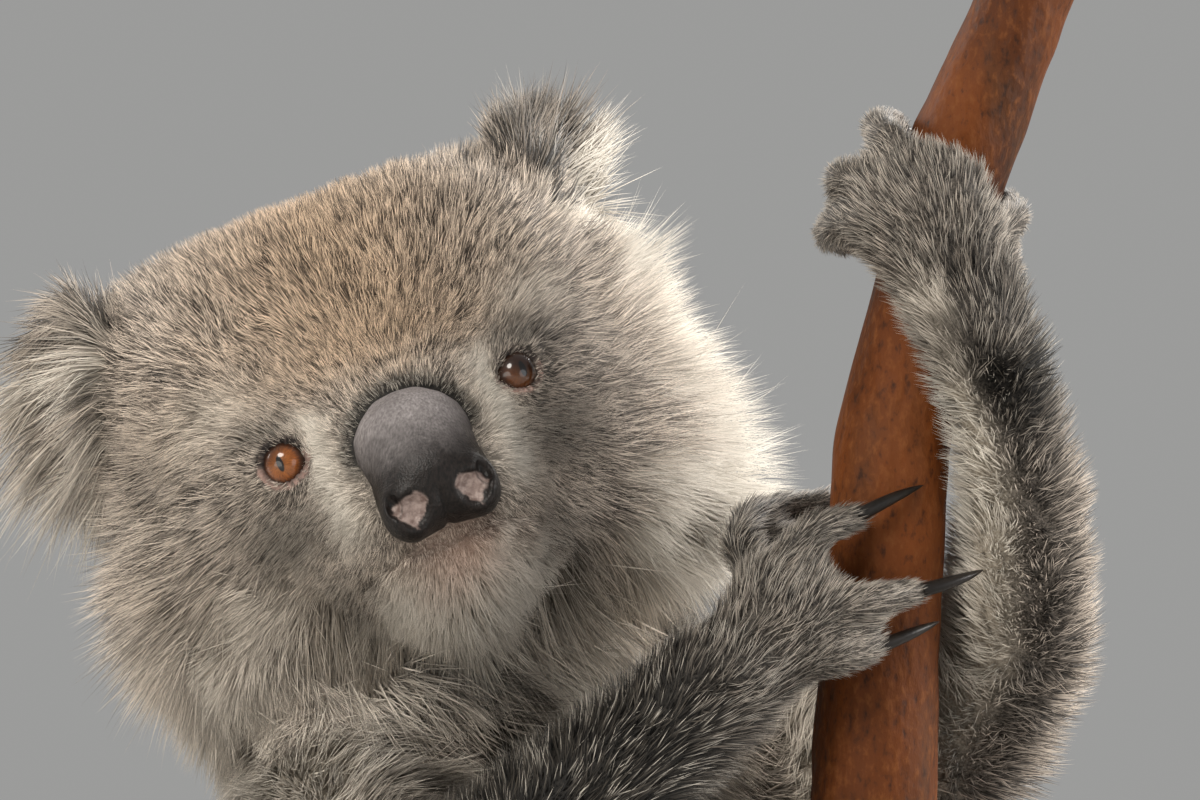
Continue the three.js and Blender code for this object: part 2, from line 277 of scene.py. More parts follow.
def addCamera():
    data = bpy.data.cameras.new("camera")
    data.sensor_width = 36
    data.lens = studio["lens"]
    data.clip_end = 100
    camera = bpy.data.objects.new("camera", data)
    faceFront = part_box("nose")[0].y
    camera.location = (studio["aim"][0], faceFront - studio["distance"], studio["aim"][1])
    camera.rotation_euler = (math.radians(90), 0, 0)
    bpy.context.scene.collection.objects.link(camera)
    bpy.context.scene.camera = camera


def addLight(name, place, size, power, colour):
    data = bpy.data.lights.new(name, "AREA")
    data.shape = "DISK"
    data.size = size
    data.energy = power
    data.color = colour
    light = bpy.data.objects.new(name, data)
    light.location = place
    aim = np.array(studio["lit"]) - np.array(place)
    tilt = math.acos(-aim[2] / np.linalg.norm(aim))
    light.rotation_euler = (tilt, 0, math.atan2(aim[1], aim[0]) - math.pi / 2)
    bpy.context.scene.collection.objects.link(light)


def addWorld():
    world = bpy.data.worlds.new("studio")
    bpy.context.scene.world = world
    world.use_nodes = True
    background = world.node_tree.nodes["Background"]
    background.inputs["Color"].default_value = studio["world"]
    background.inputs["Strength"].default_value = studio["worldStrength"]
    bpy.context.scene.view_settings.view_transform = "Standard"


def addFloor():
    around = ringOf(studio["floorSpokes"])
    rim = studio["floorRadius"] * np.column_stack([np.cos(around), np.sin(around), 0 * around])
    i = np.arange(len(around))
    spokes = np.column_stack([0 * i, 1 + i, 1 + (i + 1) % len(around)])
    floor = makeMesh("floor", np.concatenate([[[0, 0, 0]], rim]), spokes)
    finish = Finish("floor_paint")
    far = finish.node("ShaderNodeVectorMath", {"operation": "LENGTH"}, {0: finish.place()}, output="Value")
    # painted light: the floor is painted paler further out to make up for the lamps' fall-off
    colour = finish.mixed(far.over(*studio["floorFade"]), studio["floor"], studio["floorFar"])
    finish.set("Base Color", finish.mixed(finish.noise(60, 3) * 0.3, colour, studio["floorSpeck"]))
    finish.set("Roughness", 0.8)
    finish.coat(floor)


# meshes


def makeMesh(name, points, faces, attributes=None):
    mesh = bpy.data.meshes.new(name)
    mesh.vertices.add(len(points))
    mesh.vertices.foreach_set("co", np.asarray(points, np.float32).ravel())
    groups = faces if isinstance(faces, list) else [faces]
    corners = np.concatenate([g.ravel() for g in groups]).astype(np.int32)
    sizes = np.concatenate([np.full(len(g), g.shape[1]) for g in groups])
    mesh.loops.add(len(corners))
    mesh.loops.foreach_set("vertex_index", corners)
    mesh.polygons.add(len(sizes))
    starts = np.concatenate([[0], np.cumsum(sizes)[:-1]]).astype(np.int32)
    mesh.polygons.foreach_set("loop_start", starts)
    mesh.polygons.foreach_set("use_smooth", np.full(len(sizes), True))
    addMasks(mesh, attributes or {})
    mesh.update(calc_edges=True)
    mesh.validate()
    piece = bpy.data.objects.new(name, mesh)
    bpy.context.scene.collection.objects.link(piece)
    return piece


def addMasks(mesh, masks):  # values at the points, for the finishes to read
    for key, values in masks.items():
        layer = mesh.attributes.new(key, "FLOAT", "POINT")
        layer.data.foreach_set("value", np.asarray(values, np.float32))


def addPiece(piece, finish, slot, *replaced):
    finish.coat(piece)
    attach(piece, "root")
    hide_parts(*replaced)


def ringFaces(rings, spokes):  # between rings of points, with the middles of both ends after them
    i = np.arange(spokes)
    j = (i + 1) % spokes
    bands = [np.column_stack([low + i, low + j, low + spokes + j, low + spokes + i])
             for low in range(0, (rings - 1) * spokes, spokes)]
    last = (rings - 1) * spokes
    first = np.column_stack([j, i, np.full(spokes, last + spokes)])
    final = np.column_stack([last + i, last + j, np.full(spokes, last + spokes + 1)])
    return [np.concatenate(bands), np.concatenate([first, final])]


def pointNormals(points, triangles):
    a, b, c = (points[triangles[:, k]] for k in range(3))
    across = np.cross(b - a, c - a)
    total = [np.bincount(triangles.ravel(), np.repeat(across[:, k], 3), len(points)) for k in range(3)]
    return unit(np.column_stack(total))


def averager(edges, count):  # a function that averages values over the ends of each point's edges
    number = np.maximum(np.bincount(edges.ravel(), minlength=count), 1)
    here, there = edges.ravel(), edges[:, ::-1].ravel()

    def average(values):
        return np.column_stack([np.bincount(here, v[there], count) / number for v in values.T])

    return average


# finishes, as node trees


class Wire:  # one socket of a node tree, for maths written as expressions
    def __init__(self, finish, socket):
        self.finish, self.socket = finish, socket

    def maths(self, operation, first, second):
        return self.finish.node("ShaderNodeMath", {"operation": operation}, {0: first, 1: second})

    def __add__(self, other):
        return self.maths("ADD", self, other)

    def __sub__(self, other):
        return self.maths("SUBTRACT", self, other)

    def __rsub__(self, other):
        return self.maths("SUBTRACT", other, self)

    def __mul__(self, other):
        return self.maths("MULTIPLY", self, other)

    def __truediv__(self, other):
        return self.maths("DIVIDE", self, other)

    def __rtruediv__(self, other):
        return self.maths("DIVIDE", other, self)

    def __pow__(self, other):
        return self.maths("POWER", self, other)

    def __rpow__(self, other):
        return self.maths("POWER", other, self)

    __radd__ = __add__
    __rmul__ = __mul__

    def held(self):  # kept between 0 and 1
        return self.maths("MAXIMUM", self.maths("MINIMUM", self, 1.0), 0.0)

    def over(self, low, high):  # 0 at low, 1 at high
        return ((self - low) / (high - low)).held()


class Finish:
    def __init__(self, name):
        self.material = bpy.data.materials.new(name)
        self.material.use_nodes = True
        self.tree = self.material.node_tree
        self.surface = self.tree.nodes["Principled BSDF"]

    def node(self, kind, settings=None, inputs=None, output=0):
        made = self.tree.nodes.new(kind)
        for key, value in (settings or {}).items():
            if key == "stops":
                while len(made.color_ramp.elements) < len(value):
                    made.color_ramp.elements.new(0.5)
                for stop, (place, colour) in zip(made.color_ramp.elements, value):
                    stop.position, stop.color = place, colour
            else:
                setattr(made, key, value)
        for key, value in (inputs or {}).items():
            if isinstance(value, Wire):
                self.tree.links.new(value.socket, made.inputs[key])
            else:
                made.inputs[key].default_value = value
        return Wire(self, made.outputs[output])

    def mask(self, name):
        return self.node("ShaderNodeAttribute", {"attribute_name": name}, output="Fac")

    def mixed(self, factor, a, b):
        settings = {"data_type": "RGBA", "clamp_factor": True}
        return self.node("ShaderNodeMix", settings, {0: factor, 6: a, 7: b}, output=2)

    def place(self, stretch=(1, 1, 1)):
        raw = self.node("ShaderNodeTexCoord", output="Object")
        if stretch == (1, 1, 1):
            return raw
        return self.node("ShaderNodeVectorMath", {"operation": "MULTIPLY"}, {0: raw, 1: stretch})

    def noise(self, scale, detail=2.0, stretch=(1, 1, 1), roughness=0.5):
        inputs = {"Vector": self.place(stretch), "Scale": scale, "Detail": detail, "Roughness": roughness}
        return self.node("ShaderNodeTexNoise", {}, inputs)

    def cells(self, scale, stretch=(1, 1, 1)):
        inputs = {"Vector": self.place(stretch), "Scale": scale}
        return self.node("ShaderNodeTexVoronoi", {}, inputs, output="Distance")

    def bump(self, height, strength, distance):
        return self.node("ShaderNodeBump", {}, {"Height": height, "Strength": strength, "Distance": distance})

    def set(self, socket, value):
        if isinstance(value, Wire):
            self.tree.links.new(value.socket, self.surface.inputs[socket])
        else:
            self.surface.inputs[socket].default_value = value

    def coat(self, piece):
        piece.data.materials.clear()
        piece.data.materials.append(self.material)


# the body's field

skinShape = {
    "step": 2.2 * mm,
    "reach": 36 * mm,
    "thinCells": 3,  # the depth of the first field, whose surface is closed over the gaps between solids
    "closing": 1 * mm,  # wider than those gaps
    "web": 9 * mm,  # radius of the flesh between the two thumbs of the lower hand
    "webPlace": (-3 * mm, -1 * mm, 3 * mm),  # from between the thumbs
    "webMelt": 4 * mm,
    "rodCollar": 3 * mm,  # flesh round the rod that enters the rump
    "rodSearch": 5 * mm,
    "rodDepth": 4 * mm,
}

fleshNodes = [n for n in nodes if not n.startswith(("claw", "stand", "branch", "nose", "eye", "ear"))]


def bodyField():
    step = skinShape["step"]
    points, triangles = trianglesOf(fleshNodes + ["nose", "eye_left", "eye_right"])
    thin = levelSet(points, step, skinShape["thinCells"], triangles=triangles)
    points, quads = thin.convertToQuads(skinShape["closing"])
    field = fieldOf(points, step, skinShape["reach"], quads=largestPart(points, quads))
    field.values += skinShape["closing"]
    return fillRodHole(field)


def fillRodHole(field):  # the coat closes round the rod that enters the rump
    low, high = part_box("stand_rod_rump")
    centre = np.array((low + high) / 2)[:2]
    radius = (high.x - low.x) / 2
    around = ringOf(12)
    ring = centre + np.column_stack([np.cos(around), np.sin(around)]) * (radius + skinShape["rodSearch"])
    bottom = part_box("torso")[0].z
    while field.at(np.column_stack([ring, 0 * around + bottom])).mean() >= -skinShape["rodDepth"]:
        bottom += 1 * mm
    places = field.places()
    up = np.clip(places[:, 2], bottom, high.z)
    plug = np.hypot(np.linalg.norm(places[:, :2] - centre, axis=1), places[:, 2] - up)
    plug = (plug - radius - skinShape["rodCollar"]).reshape(field.values.shape)
    field.values = np.minimum(field.values, plug)
    return field


# nose

nose = {
    "step": 0.55 * mm,
    "soften": 5,
    "wing": (10.6, -79.5, -26.5, 6.6, 7.5, 8.2),  # place and half sizes in head millimetres
    "pit": (9.3, -87.0, -26.8, 5.3, 4.2, 5.6),
    "slit": (14.0, -84.5, -23.0, 2.2, 3.6, 3.6),
    "wingMelt": 3 * mm,
    "pitMelt": 1.5 * mm,
    "melt": 1.2 * mm,
    "groove": 0.9,  # its depth and half width, in mm
    "grooveTop": (-21, -27),  # this pair and those below: where something starts and where it is full
    "patch": (8.3, -21.6, 5.6, 9.0),  # the bare pale spot inside each nostril: place, width and height
    "patchEdge": (-0.4, 0.5),
    "patchTop": (0.0, 0.09),  # as a share of its height
    "patchRim": (0.5, 0.1),  # inside the nostril
    "velvet": ((-18, 4), (-54, -62)),  # upwards and forwards
    "ragged": 0.8,  # how uneven the edges of the patch and of the velvet are, in mm
}


def oval(h, values, sign):  # distance in metres from an oval given in head millimetres
    centre, half = np.array(values[:3], float), np.array(values[3:], float)
    centre[0] *= sign
    return (np.linalg.norm((h - centre) / half, axis=1) - 1) * half.min() * mm


def noseField():
    points, triangles = trianglesOf(["nose"])
    field = fieldOf(points, nose["step"], 5 * mm, triangles=triangles).softened(nose["soften"])
    h = toHead(field.places())
    value = field.values.ravel()
    pits = np.full(len(value), 1.0)
    for sign in sides.values():
        value = softLeast(value, oval(h, nose["wing"], sign), nose["wingMelt"])
        pit = softLeast(oval(h, nose["pit"], sign), oval(h, nose["slit"], sign), nose["pitMelt"])
        pits = np.minimum(pits, pit)
    value = softMost(value, -pits, nose["melt"])
    groove = nose["groove"] * mm * blob(h[:, 0], 0, nose["groove"]) * ease(*nose["grooveTop"], h[:, 2])
    field.values = (value + groove).reshape(field.values.shape)
    return field


def noseMasks(h, points):
    inside = [np.minimum(oval(h, nose["pit"], s), oval(h, nose["slit"], s)) for s in sides.values()]
    ragged = Ripple(1.7 * mm, 31).at(points)[:, 0] * nose["ragged"]
    x, z, wide, high = nose["patch"]
    down = (z - h[:, 2] + 0.3 * (x - np.abs(h[:, 0]))) / high
    width = wide * np.sqrt(np.clip(1 - down, 0, 1))
    edge = width - np.abs(np.abs(h[:, 0]) - x - 1.2 * down) + ragged
    pale = ease(*nose["patchEdge"], edge) * ease(*nose["patchTop"], down + ragged * 0.0375)
    upwards, forwards = nose["velvet"]
    return {
        "pale": pale * ease(*nose["patchRim"], np.min(inside, axis=0) / mm),
        "velvet": ease(*upwards, h[:, 2] + ragged) * ease(*forwards, h[:, 1]),
    }


def addNose(field):
    points, quads = field.surface()
    piece = makeMesh("nose_leather", points, quads, noseMasks(toHead(points), points))
    finish = Finish("nose_leather")
    grain = finish.cells(1500)
    streak = finish.noise(1500, 3, (1.0, 1.0, 0.35))
    broad = finish.noise(110, 2)
    bare = finish.mixed(streak.over(0.35, 0.75), (0.004, 0.003, 0.0025, 1), (0.02, 0.014, 0.012, 1))
    velvet = finish.mixed(streak.over(0.3, 0.75), (0.17, 0.152, 0.15, 1), (0.4, 0.365, 0.36, 1))
    velvet = finish.mixed(broad.over(0.4, 0.7) * 0.5, velvet, (0.13, 0.115, 0.115, 1))
    colour = finish.mixed(finish.mask("velvet"), bare, velvet)
    blotch = finish.noise(500, 3).over(0.35, 0.65)
    inner = finish.mixed(blotch, (0.16, 0.11, 0.095, 1), (0.36, 0.28, 0.25, 1))
    finish.set("Base Color", finish.mixed(finish.mask("pale"), colour, inner))
    finish.set("Roughness", 0.46 + finish.mask("velvet") * 0.25)
    finish.set("Specular IOR Level", 0.3)
    finish.set("Normal", finish.bump(grain * 0.8 + streak * 0.4, 0.35, 0.0004))
    addPiece(piece, finish, "nose", "nose")


# eyes

eye = {
    "radius": 7.1 * mm,
    "iris": 5.9 * mm,
    "cornea": 0.45 * mm,
    "rings": 47,
    "spokes": 64,
    "out": 20.0,  # degrees that each eye looks outwards, and up
    "up": 2.0,
    "shade": {"right": 0.05, "left": 0.85},  # how far down the upper lid's painted shade reaches; the left eye is painted more shaded
    # the left eye's colours are painted darker, as painted shade
    "tone": {"right": 1.0, "left": 0.45},
    "pupil": (0.16, 0.40),  # half its width and height, as shares of the iris
    "stops": [  # from the pupil out to the rim
        (0.0, (0.07, 0.02, 0.006)),
        (0.35, (0.36, 0.115, 0.02)),
        (0.72, (0.38, 0.11, 0.018)),
        (0.9, (0.07, 0.02, 0.007)),
        (1.0, (0.012, 0.006, 0.004)),
    ],
}


def gazeOf(side):  # the way an eye looks, its rightward and its upward directions
    turn = headTurn @ turnAbout("z", sides[side] * eye["out"]) @ turnAbout("x", -eye["up"])
    return -turn[:, 1], turn[:, 0], turn[:, 2]


def addEye(side):
    gaze, across, up = gazeOf(side)
    polar = np.linspace(0, math.pi, eye["rings"] + 2)[1:-1]
    t, a = np.meshgrid(polar, -ringOf(eye["spokes"]), indexing="ij")
    t, a = t.ravel(), a.ravel()
    far = eye["radius"] + eye["cornea"] * ease(0.95, 0.35, t)
    ring = column(np.cos(a)) * across + column(np.sin(a)) * up
    ball = column(far) * (column(np.sin(t)) * ring + column(np.cos(t)) * gaze)
    poles = [gaze * (eye["radius"] + eye["cornea"]), -gaze * eye["radius"]]
    points = np.concatenate([ball, poles])
    masks = {"irisX": points @ across / eye["iris"], "irisY": points @ up / eye["iris"]}
    faces = ringFaces(eye["rings"], eye["spokes"])
    piece = makeMesh("eyeball_" + side, points + eyePlaces[side], faces, masks)
    addPiece(piece, eyeFinish(side), "eye", "eye_" + side)


def eyeFinish(side):
    finish = Finish("eye_glass_" + side)
    x, y = finish.mask("irisX"), finish.mask("irisY")
    out = (x * x + y * y) ** 0.5
    spoke = {0: x / (out + 0.02) * 2.2, 1: y / (out + 0.02) * 2.2, 2: out * 0.8}
    along = finish.node("ShaderNodeCombineXYZ", {}, spoke)
    inputs = {"Vector": along, "Scale": 5.0, "Detail": 4.0, "Roughness": 0.7}
    streak = finish.node("ShaderNodeTexNoise", {}, inputs)
    tone = eye["tone"][side]
    stops = [(place, (r * tone, g * tone, b * tone, 1)) for place, (r, g, b) in eye["stops"]]
    ring = finish.node("ShaderNodeValToRGB", {"stops": stops}, {"Fac": out + (streak - 0.5) * 0.12})
    colour = finish.mixed(streak.over(0.35, 0.7) * 0.65, ring, (0.045, 0.016, 0.006, 1))
    wide, high = eye["pupil"]
    pupil = ((x / wide) ** 2.0 + (y / high) ** 2.0).over(1.25, 0.8)
    # painted shade: darker towards the top of each eye and on its outer side
    shade = (y * 0.9 + x * (0.5 * sides[side]) + eye["shade"][side]).held()
    colour = finish.mixed(shade, colour, (0.02, 0.007, 0.003, 1))
    finish.set("Base Color", finish.mixed(pupil, colour, (0.003, 0.002, 0.002, 1)))
    finish.set("Roughness", 0.3)
    finish.set("Specular IOR Level", 0.2)
    finish.set("Coat Weight", 1.0)
    finish.set("Coat Roughness", 0.02)
    return finish


# claws, branch and stand

clawShape = {
    "step": 0.4 * mm,
    "rings": 17,
    "spokes": 20,
    "slices": 5,  # lengths of the solid that its middle line is fitted to
    "widest": 0.8,  # the share of the first slice's points that lie inside the claw's half width
    "taper": 0.8,
    "flat": 0.74,  # width across the hook, as a share of its height
    "hook": 0.7 * mm,  # how far the middle is arched beyond the solid's own arch
}


def clawCurve(name):  # places along a claw from root to tip, the way it hooks, and its half width
    points, triangles = trianglesOf([name])
    points = fieldOf(points, clawShape["step"], 2 * mm, triangles=triangles).surface()[0]
    centre = points.mean(0)
    axis = np.linalg.svd(points - centre, full_matrices=False)[2][0]
    along = (points - centre) @ axis
    off = np.linalg.norm(points - centre - column(along) * axis, axis=1)
    if off[along > 0].mean() > off[along < 0].mean():
        along = -along
    share = (along - along.min()) / np.ptp(along)
    number = clawShape["slices"]
    slices = [(share > k / number) & (share <= (k + 1) / number) for k in range(number)]
    middles = np.array([points[near].mean(0) for near in slices])
    fit = np.polyfit([share[near].mean() for near in slices], middles, 2)
    hook = -unit(fit[0])
    t = column(np.linspace(0, 1, clawShape["rings"] + 1))
    line = fit[0] * t**2 + fit[1] * t + fit[2] + hook * (4 * t * (1 - t) * clawShape["hook"])
    return line, hook, np.quantile(off[slices[0]], clawShape["widest"])


def clawPoints(name):
    line, hook, wide = clawCurve(name)
    ahead = unit(np.gradient(line, axis=0))
    across = unit(np.cross(ahead, hook))
    upright = np.cross(across, ahead)
    size = wide * (1 - np.linspace(0, 1, len(line)) ** 2) ** clawShape["taper"]
    a, size = np.meshgrid(ringOf(clawShape["spokes"]), size[:-1])
    side = (np.cos(a) * size * clawShape["flat"])[..., None] * across[:-1, None]
    high = (np.sin(a) * size)[..., None] * upright[:-1, None]
    rings = line[:-1, None] + side + high
    return np.concatenate([rings.reshape(-1, 3), line[:1], line[-1:]])


def addClaws():
    finish = Finish("claw_horn")
    streak = finish.noise(900, 3, (1, 1, 0.4))
    colour = finish.mixed(streak, (0.003, 0.0025, 0.002, 1), (0.016, 0.012, 0.01, 1))
    worn = finish.noise(160).over(0.5, 0.8) * 0.5
    finish.set("Base Color", finish.mixed(worn, colour, (0.035, 0.027, 0.02, 1)))
    finish.set("Roughness", 0.3 + finish.noise(300) * 0.2)
    finish.set("Specular IOR Level", 0.3)
    finish.set("Normal", finish.bump(streak, 0.25, 0.0003))
    faces = ringFaces(clawShape["rings"], clawShape["spokes"])
    for name in sorted(n for n in nodes if n.startswith("claw")):
        piece = makeMesh(name.replace("claw_", "horn_"), clawPoints(name), faces)
        addPiece(piece, finish, "claw", name)


branchShape = {
    "step": 1.6 * mm,
    "rounds": 4,
    "near": 4 * mm,  # how deep the ripples are worked out
    "stretch": (1, 1, 0.45),
    "ripples": ((17 * mm, 0.7 * mm, 41), (5 * mm, 0.25 * mm, 42)),  # length, height and seed
    "topAxis": (0.4, 0.0, 0.9),  # the way the upper end faces
    "lowCut": (4 * mm, 1 * mm),  # how far from the ends the sawn faces start and are full
    "topCut": (25 * mm, 20 * mm),
}


def sawnMask(points, quads):  # 1 on the two cut ends
    low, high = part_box("branch")
    normals = pointNormals(points, quads[:, :3])
    z = points[:, 2]
    lowEnd = ease(*branchShape["lowCut"], z - low.z) * ease(0.5, 0.8, -normals[:, 2])
    facing = normals @ unit(np.array(branchShape["topAxis"]))
    return np.maximum(lowEnd, ease(*branchShape["topCut"], high.z - z) * ease(0.75, 0.9, facing))


def addBranch():
    points, triangles = trianglesOf(["branch"])
    field = fieldOf(points, branchShape["step"], 6 * mm, triangles=triangles).softened(branchShape["rounds"])
    near = np.abs(field.values) < branchShape["near"]
    places = field.places()[near.ravel()] * branchShape["stretch"]
    for size, height, seed in branchShape["ripples"]:
        field.values[near] -= Ripple(size, seed).at(places)[:, 0] * height
    points, quads = field.surface()
    piece = makeMesh("branch_bark", points, quads, {"sawn": sawnMask(points, quads)})
    finish = Finish("bark")
    long = (1, 1, 0.3)
    broad = finish.noise(26, 4, long)
    fleck = finish.noise(420, 3, (1, 1, 0.55), 0.6)
    pore = finish.cells(330, (1, 1, 0.6))
    patch = finish.noise(60, 3, long).over(0.55, 0.75)
    colour = finish.mixed(broad.over(0.35, 0.65), (0.04, 0.010, 0.0015, 1), (0.16, 0.042, 0.006, 1))
    colour = finish.mixed(patch * 0.6, colour, (0.075, 0.03, 0.011, 1))
    colour = finish.mixed(fleck.over(0.52, 0.72) * 0.7, colour, (0.2, 0.066, 0.017, 1))
    colour = finish.mixed(fleck.over(0.45, 0.28) * 0.75, colour, (0.016, 0.005, 0.002, 1))
    wood = finish.mixed(finish.noise(500, 2, (1, 1, 0.1)), (0.36, 0.22, 0.11, 1), (0.52, 0.36, 0.2, 1))
    finish.set("Base Color", finish.mixed(finish.mask("sawn"), colour, wood))
    finish.set("Roughness", 0.55 + fleck * 0.25)
    finish.set("Specular IOR Level", 0.22)
    finish.set("Normal", finish.bump(fleck * 0.7 + pore * 0.5 + broad * 0.8, 0.5, 0.0012))
    addPiece(piece, finish, "bark", "branch")
    return field


stand = {
    "baseBevel": 3 * mm,
    "rodBevel": 0.8 * mm,
    "baseSpokes": 96,
    "rodSpokes": 48,
    "bevelSteps": 5,
}


def turned(name, node, bevel, spokes, finish, slot):  # a disc or rod on an upright axis, its edges rounded
    low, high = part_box(node)
    radius = (high.x - low.x) / 2
    turn = np.linspace(0, math.pi / 2, stand["bevelSteps"])
    lower = [(radius - bevel * (1 - math.sin(a)), low.z + bevel * (1 - math.cos(a))) for a in turn]
    upper = [(radius - bevel * (1 - math.cos(a)), high.z - bevel * (1 - math.sin(a))) for a in turn]
    x, y = (low.x + high.x) / 2, (low.y + high.y) / 2
    around = ringOf(spokes)
    out = np.column_stack([np.cos(around), np.sin(around), 0 * around])
    rings = [out * r + (x, y, z) for r, z in lower + upper]
    points = np.concatenate([*rings, [[x, y, low.z], [x, y, high.z]]])
    addPiece(makeMesh(name, points, ringFaces(len(rings), spokes)), finish, slot, node)


def addStand():
    paint = Finish("stand_paint")
    cloud = paint.noise(240, 3) * 0.5
    paint.set("Base Color", paint.mixed(cloud, (0.028, 0.027, 0.026, 1), (0.05, 0.048, 0.045, 1)))
    paint.set("Roughness", 0.42 + paint.noise(90) * 0.15)
    paint.set("Normal", paint.bump(paint.noise(900), 0.08, 0.0004))
    turned("stand_base_disc", "stand_base", stand["baseBevel"], stand["baseSpokes"], paint, "stand_base")
    steel = Finish("stand_steel")
    steel.set("Base Color", steel.mixed(steel.noise(60, 3), (0.034, 0.034, 0.036, 1), (0.05, 0.05, 0.053, 1)))
    steel.set("Roughness", 0.38 + steel.noise(400, 2) * 0.15)
    steel.set("Normal", steel.bump(steel.noise(1200), 0.05, 0.0003))
    for name in ("stand_rod_branch", "stand_rod_rump"):
        turned(name + "_turned", name, stand["rodBevel"], stand["rodSpokes"], steel, "stand_rod")


# the lie of the coat on each part

# depth of the coat in mm, how far it stands from the skin in degrees, and the node that it lies towards
coatTable = {
    "neck": (20, 42, None),
    "torso": (15, 36, None),
    "upper_arm": (12, 44, "forearm_{side}"),
    "forearm": (8, 50, "palm_{side}"),
    "palm": (3.0, 26, "finger_{side}_3"),
    "finger": (1.5, 17, "claw_hand_{side}_{digit}"),
    "thigh": (15, 38, "shank_{side}"),
    "shank": (10, 40, "foot_{side}"),
    "foot": (5, 30, "toe_{side}_3"),
    "toe": (3, 24, "claw_foot_{side}_{digit}"),
}
groups = ["head", "neck", "torso", "arm", "forearm", "hand", "leg", "foot"]
groupOf = {
    "head": "head",
    "neck": "neck",
    "torso": "torso",
    "upper_arm": "arm",
    "forearm": "forearm",
    "palm": "hand",
    "finger": "hand",
    "thigh": "leg",
    "shank": "leg",
    "foot": "foot",
    "toe": "foot",
}
headCoat = {  # in head millimetres and degrees; a pair is where something starts and where it is full
    "depth": {"nose": 2.8, "front": 6.2, "back": 12.0, "ruff": 22.0, "chin": 10.5},
    "backDepth": (0, 50),
    "ruffDepth": (50, 92),
    "ruffTop": {"right": (34, -20), "left": (54, 6)},
    "fromNose": (24, 70),
    "chin": {"half": 26, "down": (-46, -62), "forward": (5, -25)},
    "lift": {"face": 30.0, "crown": 50.0, "ruff": 42.0, "back": 40.0},
    "crownLift": (20, 60),
    "ruffLift": ((55, 95), (30, -20)),  # across and down
    "backLift": (0, 40),
    "from": (0, -84, -4),  # the coat lies away from this place
    "droop": 22,  # how far below it the cheeks' hair starts from
    "drooping": ((30, 75), (25, -10)),  # across and down
    "down": 1.6,  # how strongly the hair of the back lies downwards
    "downwards": (20, 60),
}
trunkLie = (0.1, 0.15, -1.0)
coatMapping = {
    "spacing": 5.5 * mm,  # between the places on the solids
    "fade": 4 * mm,
    "number": 10,  # how many of them are averaged
}


def stemOf(name):
    return next(stem for stem in groupOf if name.startswith(stem))


def lieOf(name):  # the way the coat of a node lies, other than the head's
    stem = stemOf(name)
    target = coatTable[stem][2]
    if not target:
        return np.array(trunkLie)
    side = "left" if "left" in name else "right"
    end = target.format(side=side, digit=name[-1])
    if end in nodes:
        return unit(middle(end) - middle(name))
    return unit(middle(name) - middle(("palm_" if stem == "finger" else "foot_") + side))


def headDepth(h):  # how deep the coat is over the head, in mm
    x, y, z = np.abs(h[:, 0]), h[:, 1], h[:, 2]
    deep, top, chin = headCoat["depth"], headCoat["ruffTop"], headCoat["chin"]
    depth = mix(deep["front"], deep["back"], ease(*headCoat["backDepth"], y))
    ruff = mix(ease(*top["right"], z), ease(*top["left"], z), ease(-10, 10, h[:, 0]))
    depth = mix(depth, deep["ruff"], ruff * ease(*headCoat["ruffDepth"], x))
    away = np.hypot(x / 1.15, z + 6) + 1.2 * np.maximum(y + 35, 0)
    depth = mix(deep["nose"], depth, ease(*headCoat["fromNose"], away))
    onChin = blob(x, 0, chin["half"]) * ease(*chin["down"], z) * ease(*chin["forward"], y)
    return mix(depth, deep["chin"], onChin)


def headLift(h):  # how far it stands from the skin
    x, y, z = np.abs(h[:, 0]), h[:, 1], h[:, 2]
    lifts, (outwards, down) = headCoat["lift"], headCoat["ruffLift"]
    lift = mix(lifts["face"], lifts["crown"], ease(*headCoat["crownLift"], z))
    lift = mix(lift, lifts["ruff"], ease(*outwards, x) * ease(*down, z))
    return mix(lift, lifts["back"], ease(*headCoat["backLift"], y))


def headLie(h):  # out from the nose on every side, then down the back of the head
    outwards, down = headCoat["drooping"]
    lie = h - np.array(headCoat["from"])
    lie[:, 2] -= headCoat["droop"] * ease(*outwards, np.abs(h[:, 0])) * ease(*down, h[:, 2])
    lie = unit(lie)
    lie[:, 2] -= headCoat["down"] * ease(*headCoat["downwards"], h[:, 1])
    return unit(lie) @ headTurn.T


def scattered(rng, weights, count):  # triangles picked by weight, and a place in each, as its corners' shares
    pick = rng.choice(len(weights), count, p=weights / weights.sum())
    u, v = rng.random((2, count))
    u, v = np.where(u + v > 1, 1 - u, u), np.where(u + v > 1, 1 - v, v)
    return pick, np.column_stack([1 - u - v, u, v])


def areasOf(corners):  # of triangles, from their corners
    a, b, c = corners.transpose(1, 0, 2)
    return np.linalg.norm(np.cross(b - a, c - a), axis=1) / 2


def surfaceSamples(spacing):  # scattered places on the solids, each with what the coat does there
    rng = np.random.default_rng(5)
    places, rows = [], []
    for name in fleshNodes:
        points, triangles = trianglesOf([name])
        area = areasOf(points[triangles])
        count = max(12, int(area.sum() / spacing**2))
        pick, shares = scattered(rng, area, count)
        place = np.einsum("ik,ikc->ic", shares, points[triangles[pick]])
        stem = stemOf(name)
        if stem == "head":
            h = toHead(place)
            depth, lift, lie = headDepth(h), headLift(h), headLie(h)
        else:
            depth, lift = np.full((2, count), column(coatTable[stem][:2]), float)
            lie = np.tile(lieOf(name), (count, 1))
        member = np.tile([group == groupOf[stem] for group in groups], (count, 1))
        places.append(place)
        rows.append(np.column_stack([depth, lift, lie, member]))
    return np.concatenate(places), np.concatenate(rows)


class CoatMap:  # what the coat does near any place: depth, lift, lie, and its share in each group
    def __init__(self):
        self.places, self.rows = surfaceSamples(coatMapping["spacing"])
        self.tree = treeOf(self.places)

    def at(self, points):
        number = coatMapping["number"]
        index = np.empty((len(points), number), int)
        gap = np.empty((len(points), number))
        for i, point in enumerate(points):
            for k, (_, j, distance) in enumerate(self.tree.find_n(point, number)):
                index[i, k], gap[i, k] = j, distance
        weight = 1 / (gap**2 + coatMapping["fade"] ** 2)
        weight /= weight.sum(1, keepdims=True)
        return np.einsum("ik,ikc->ic", weight, self.rows[index])


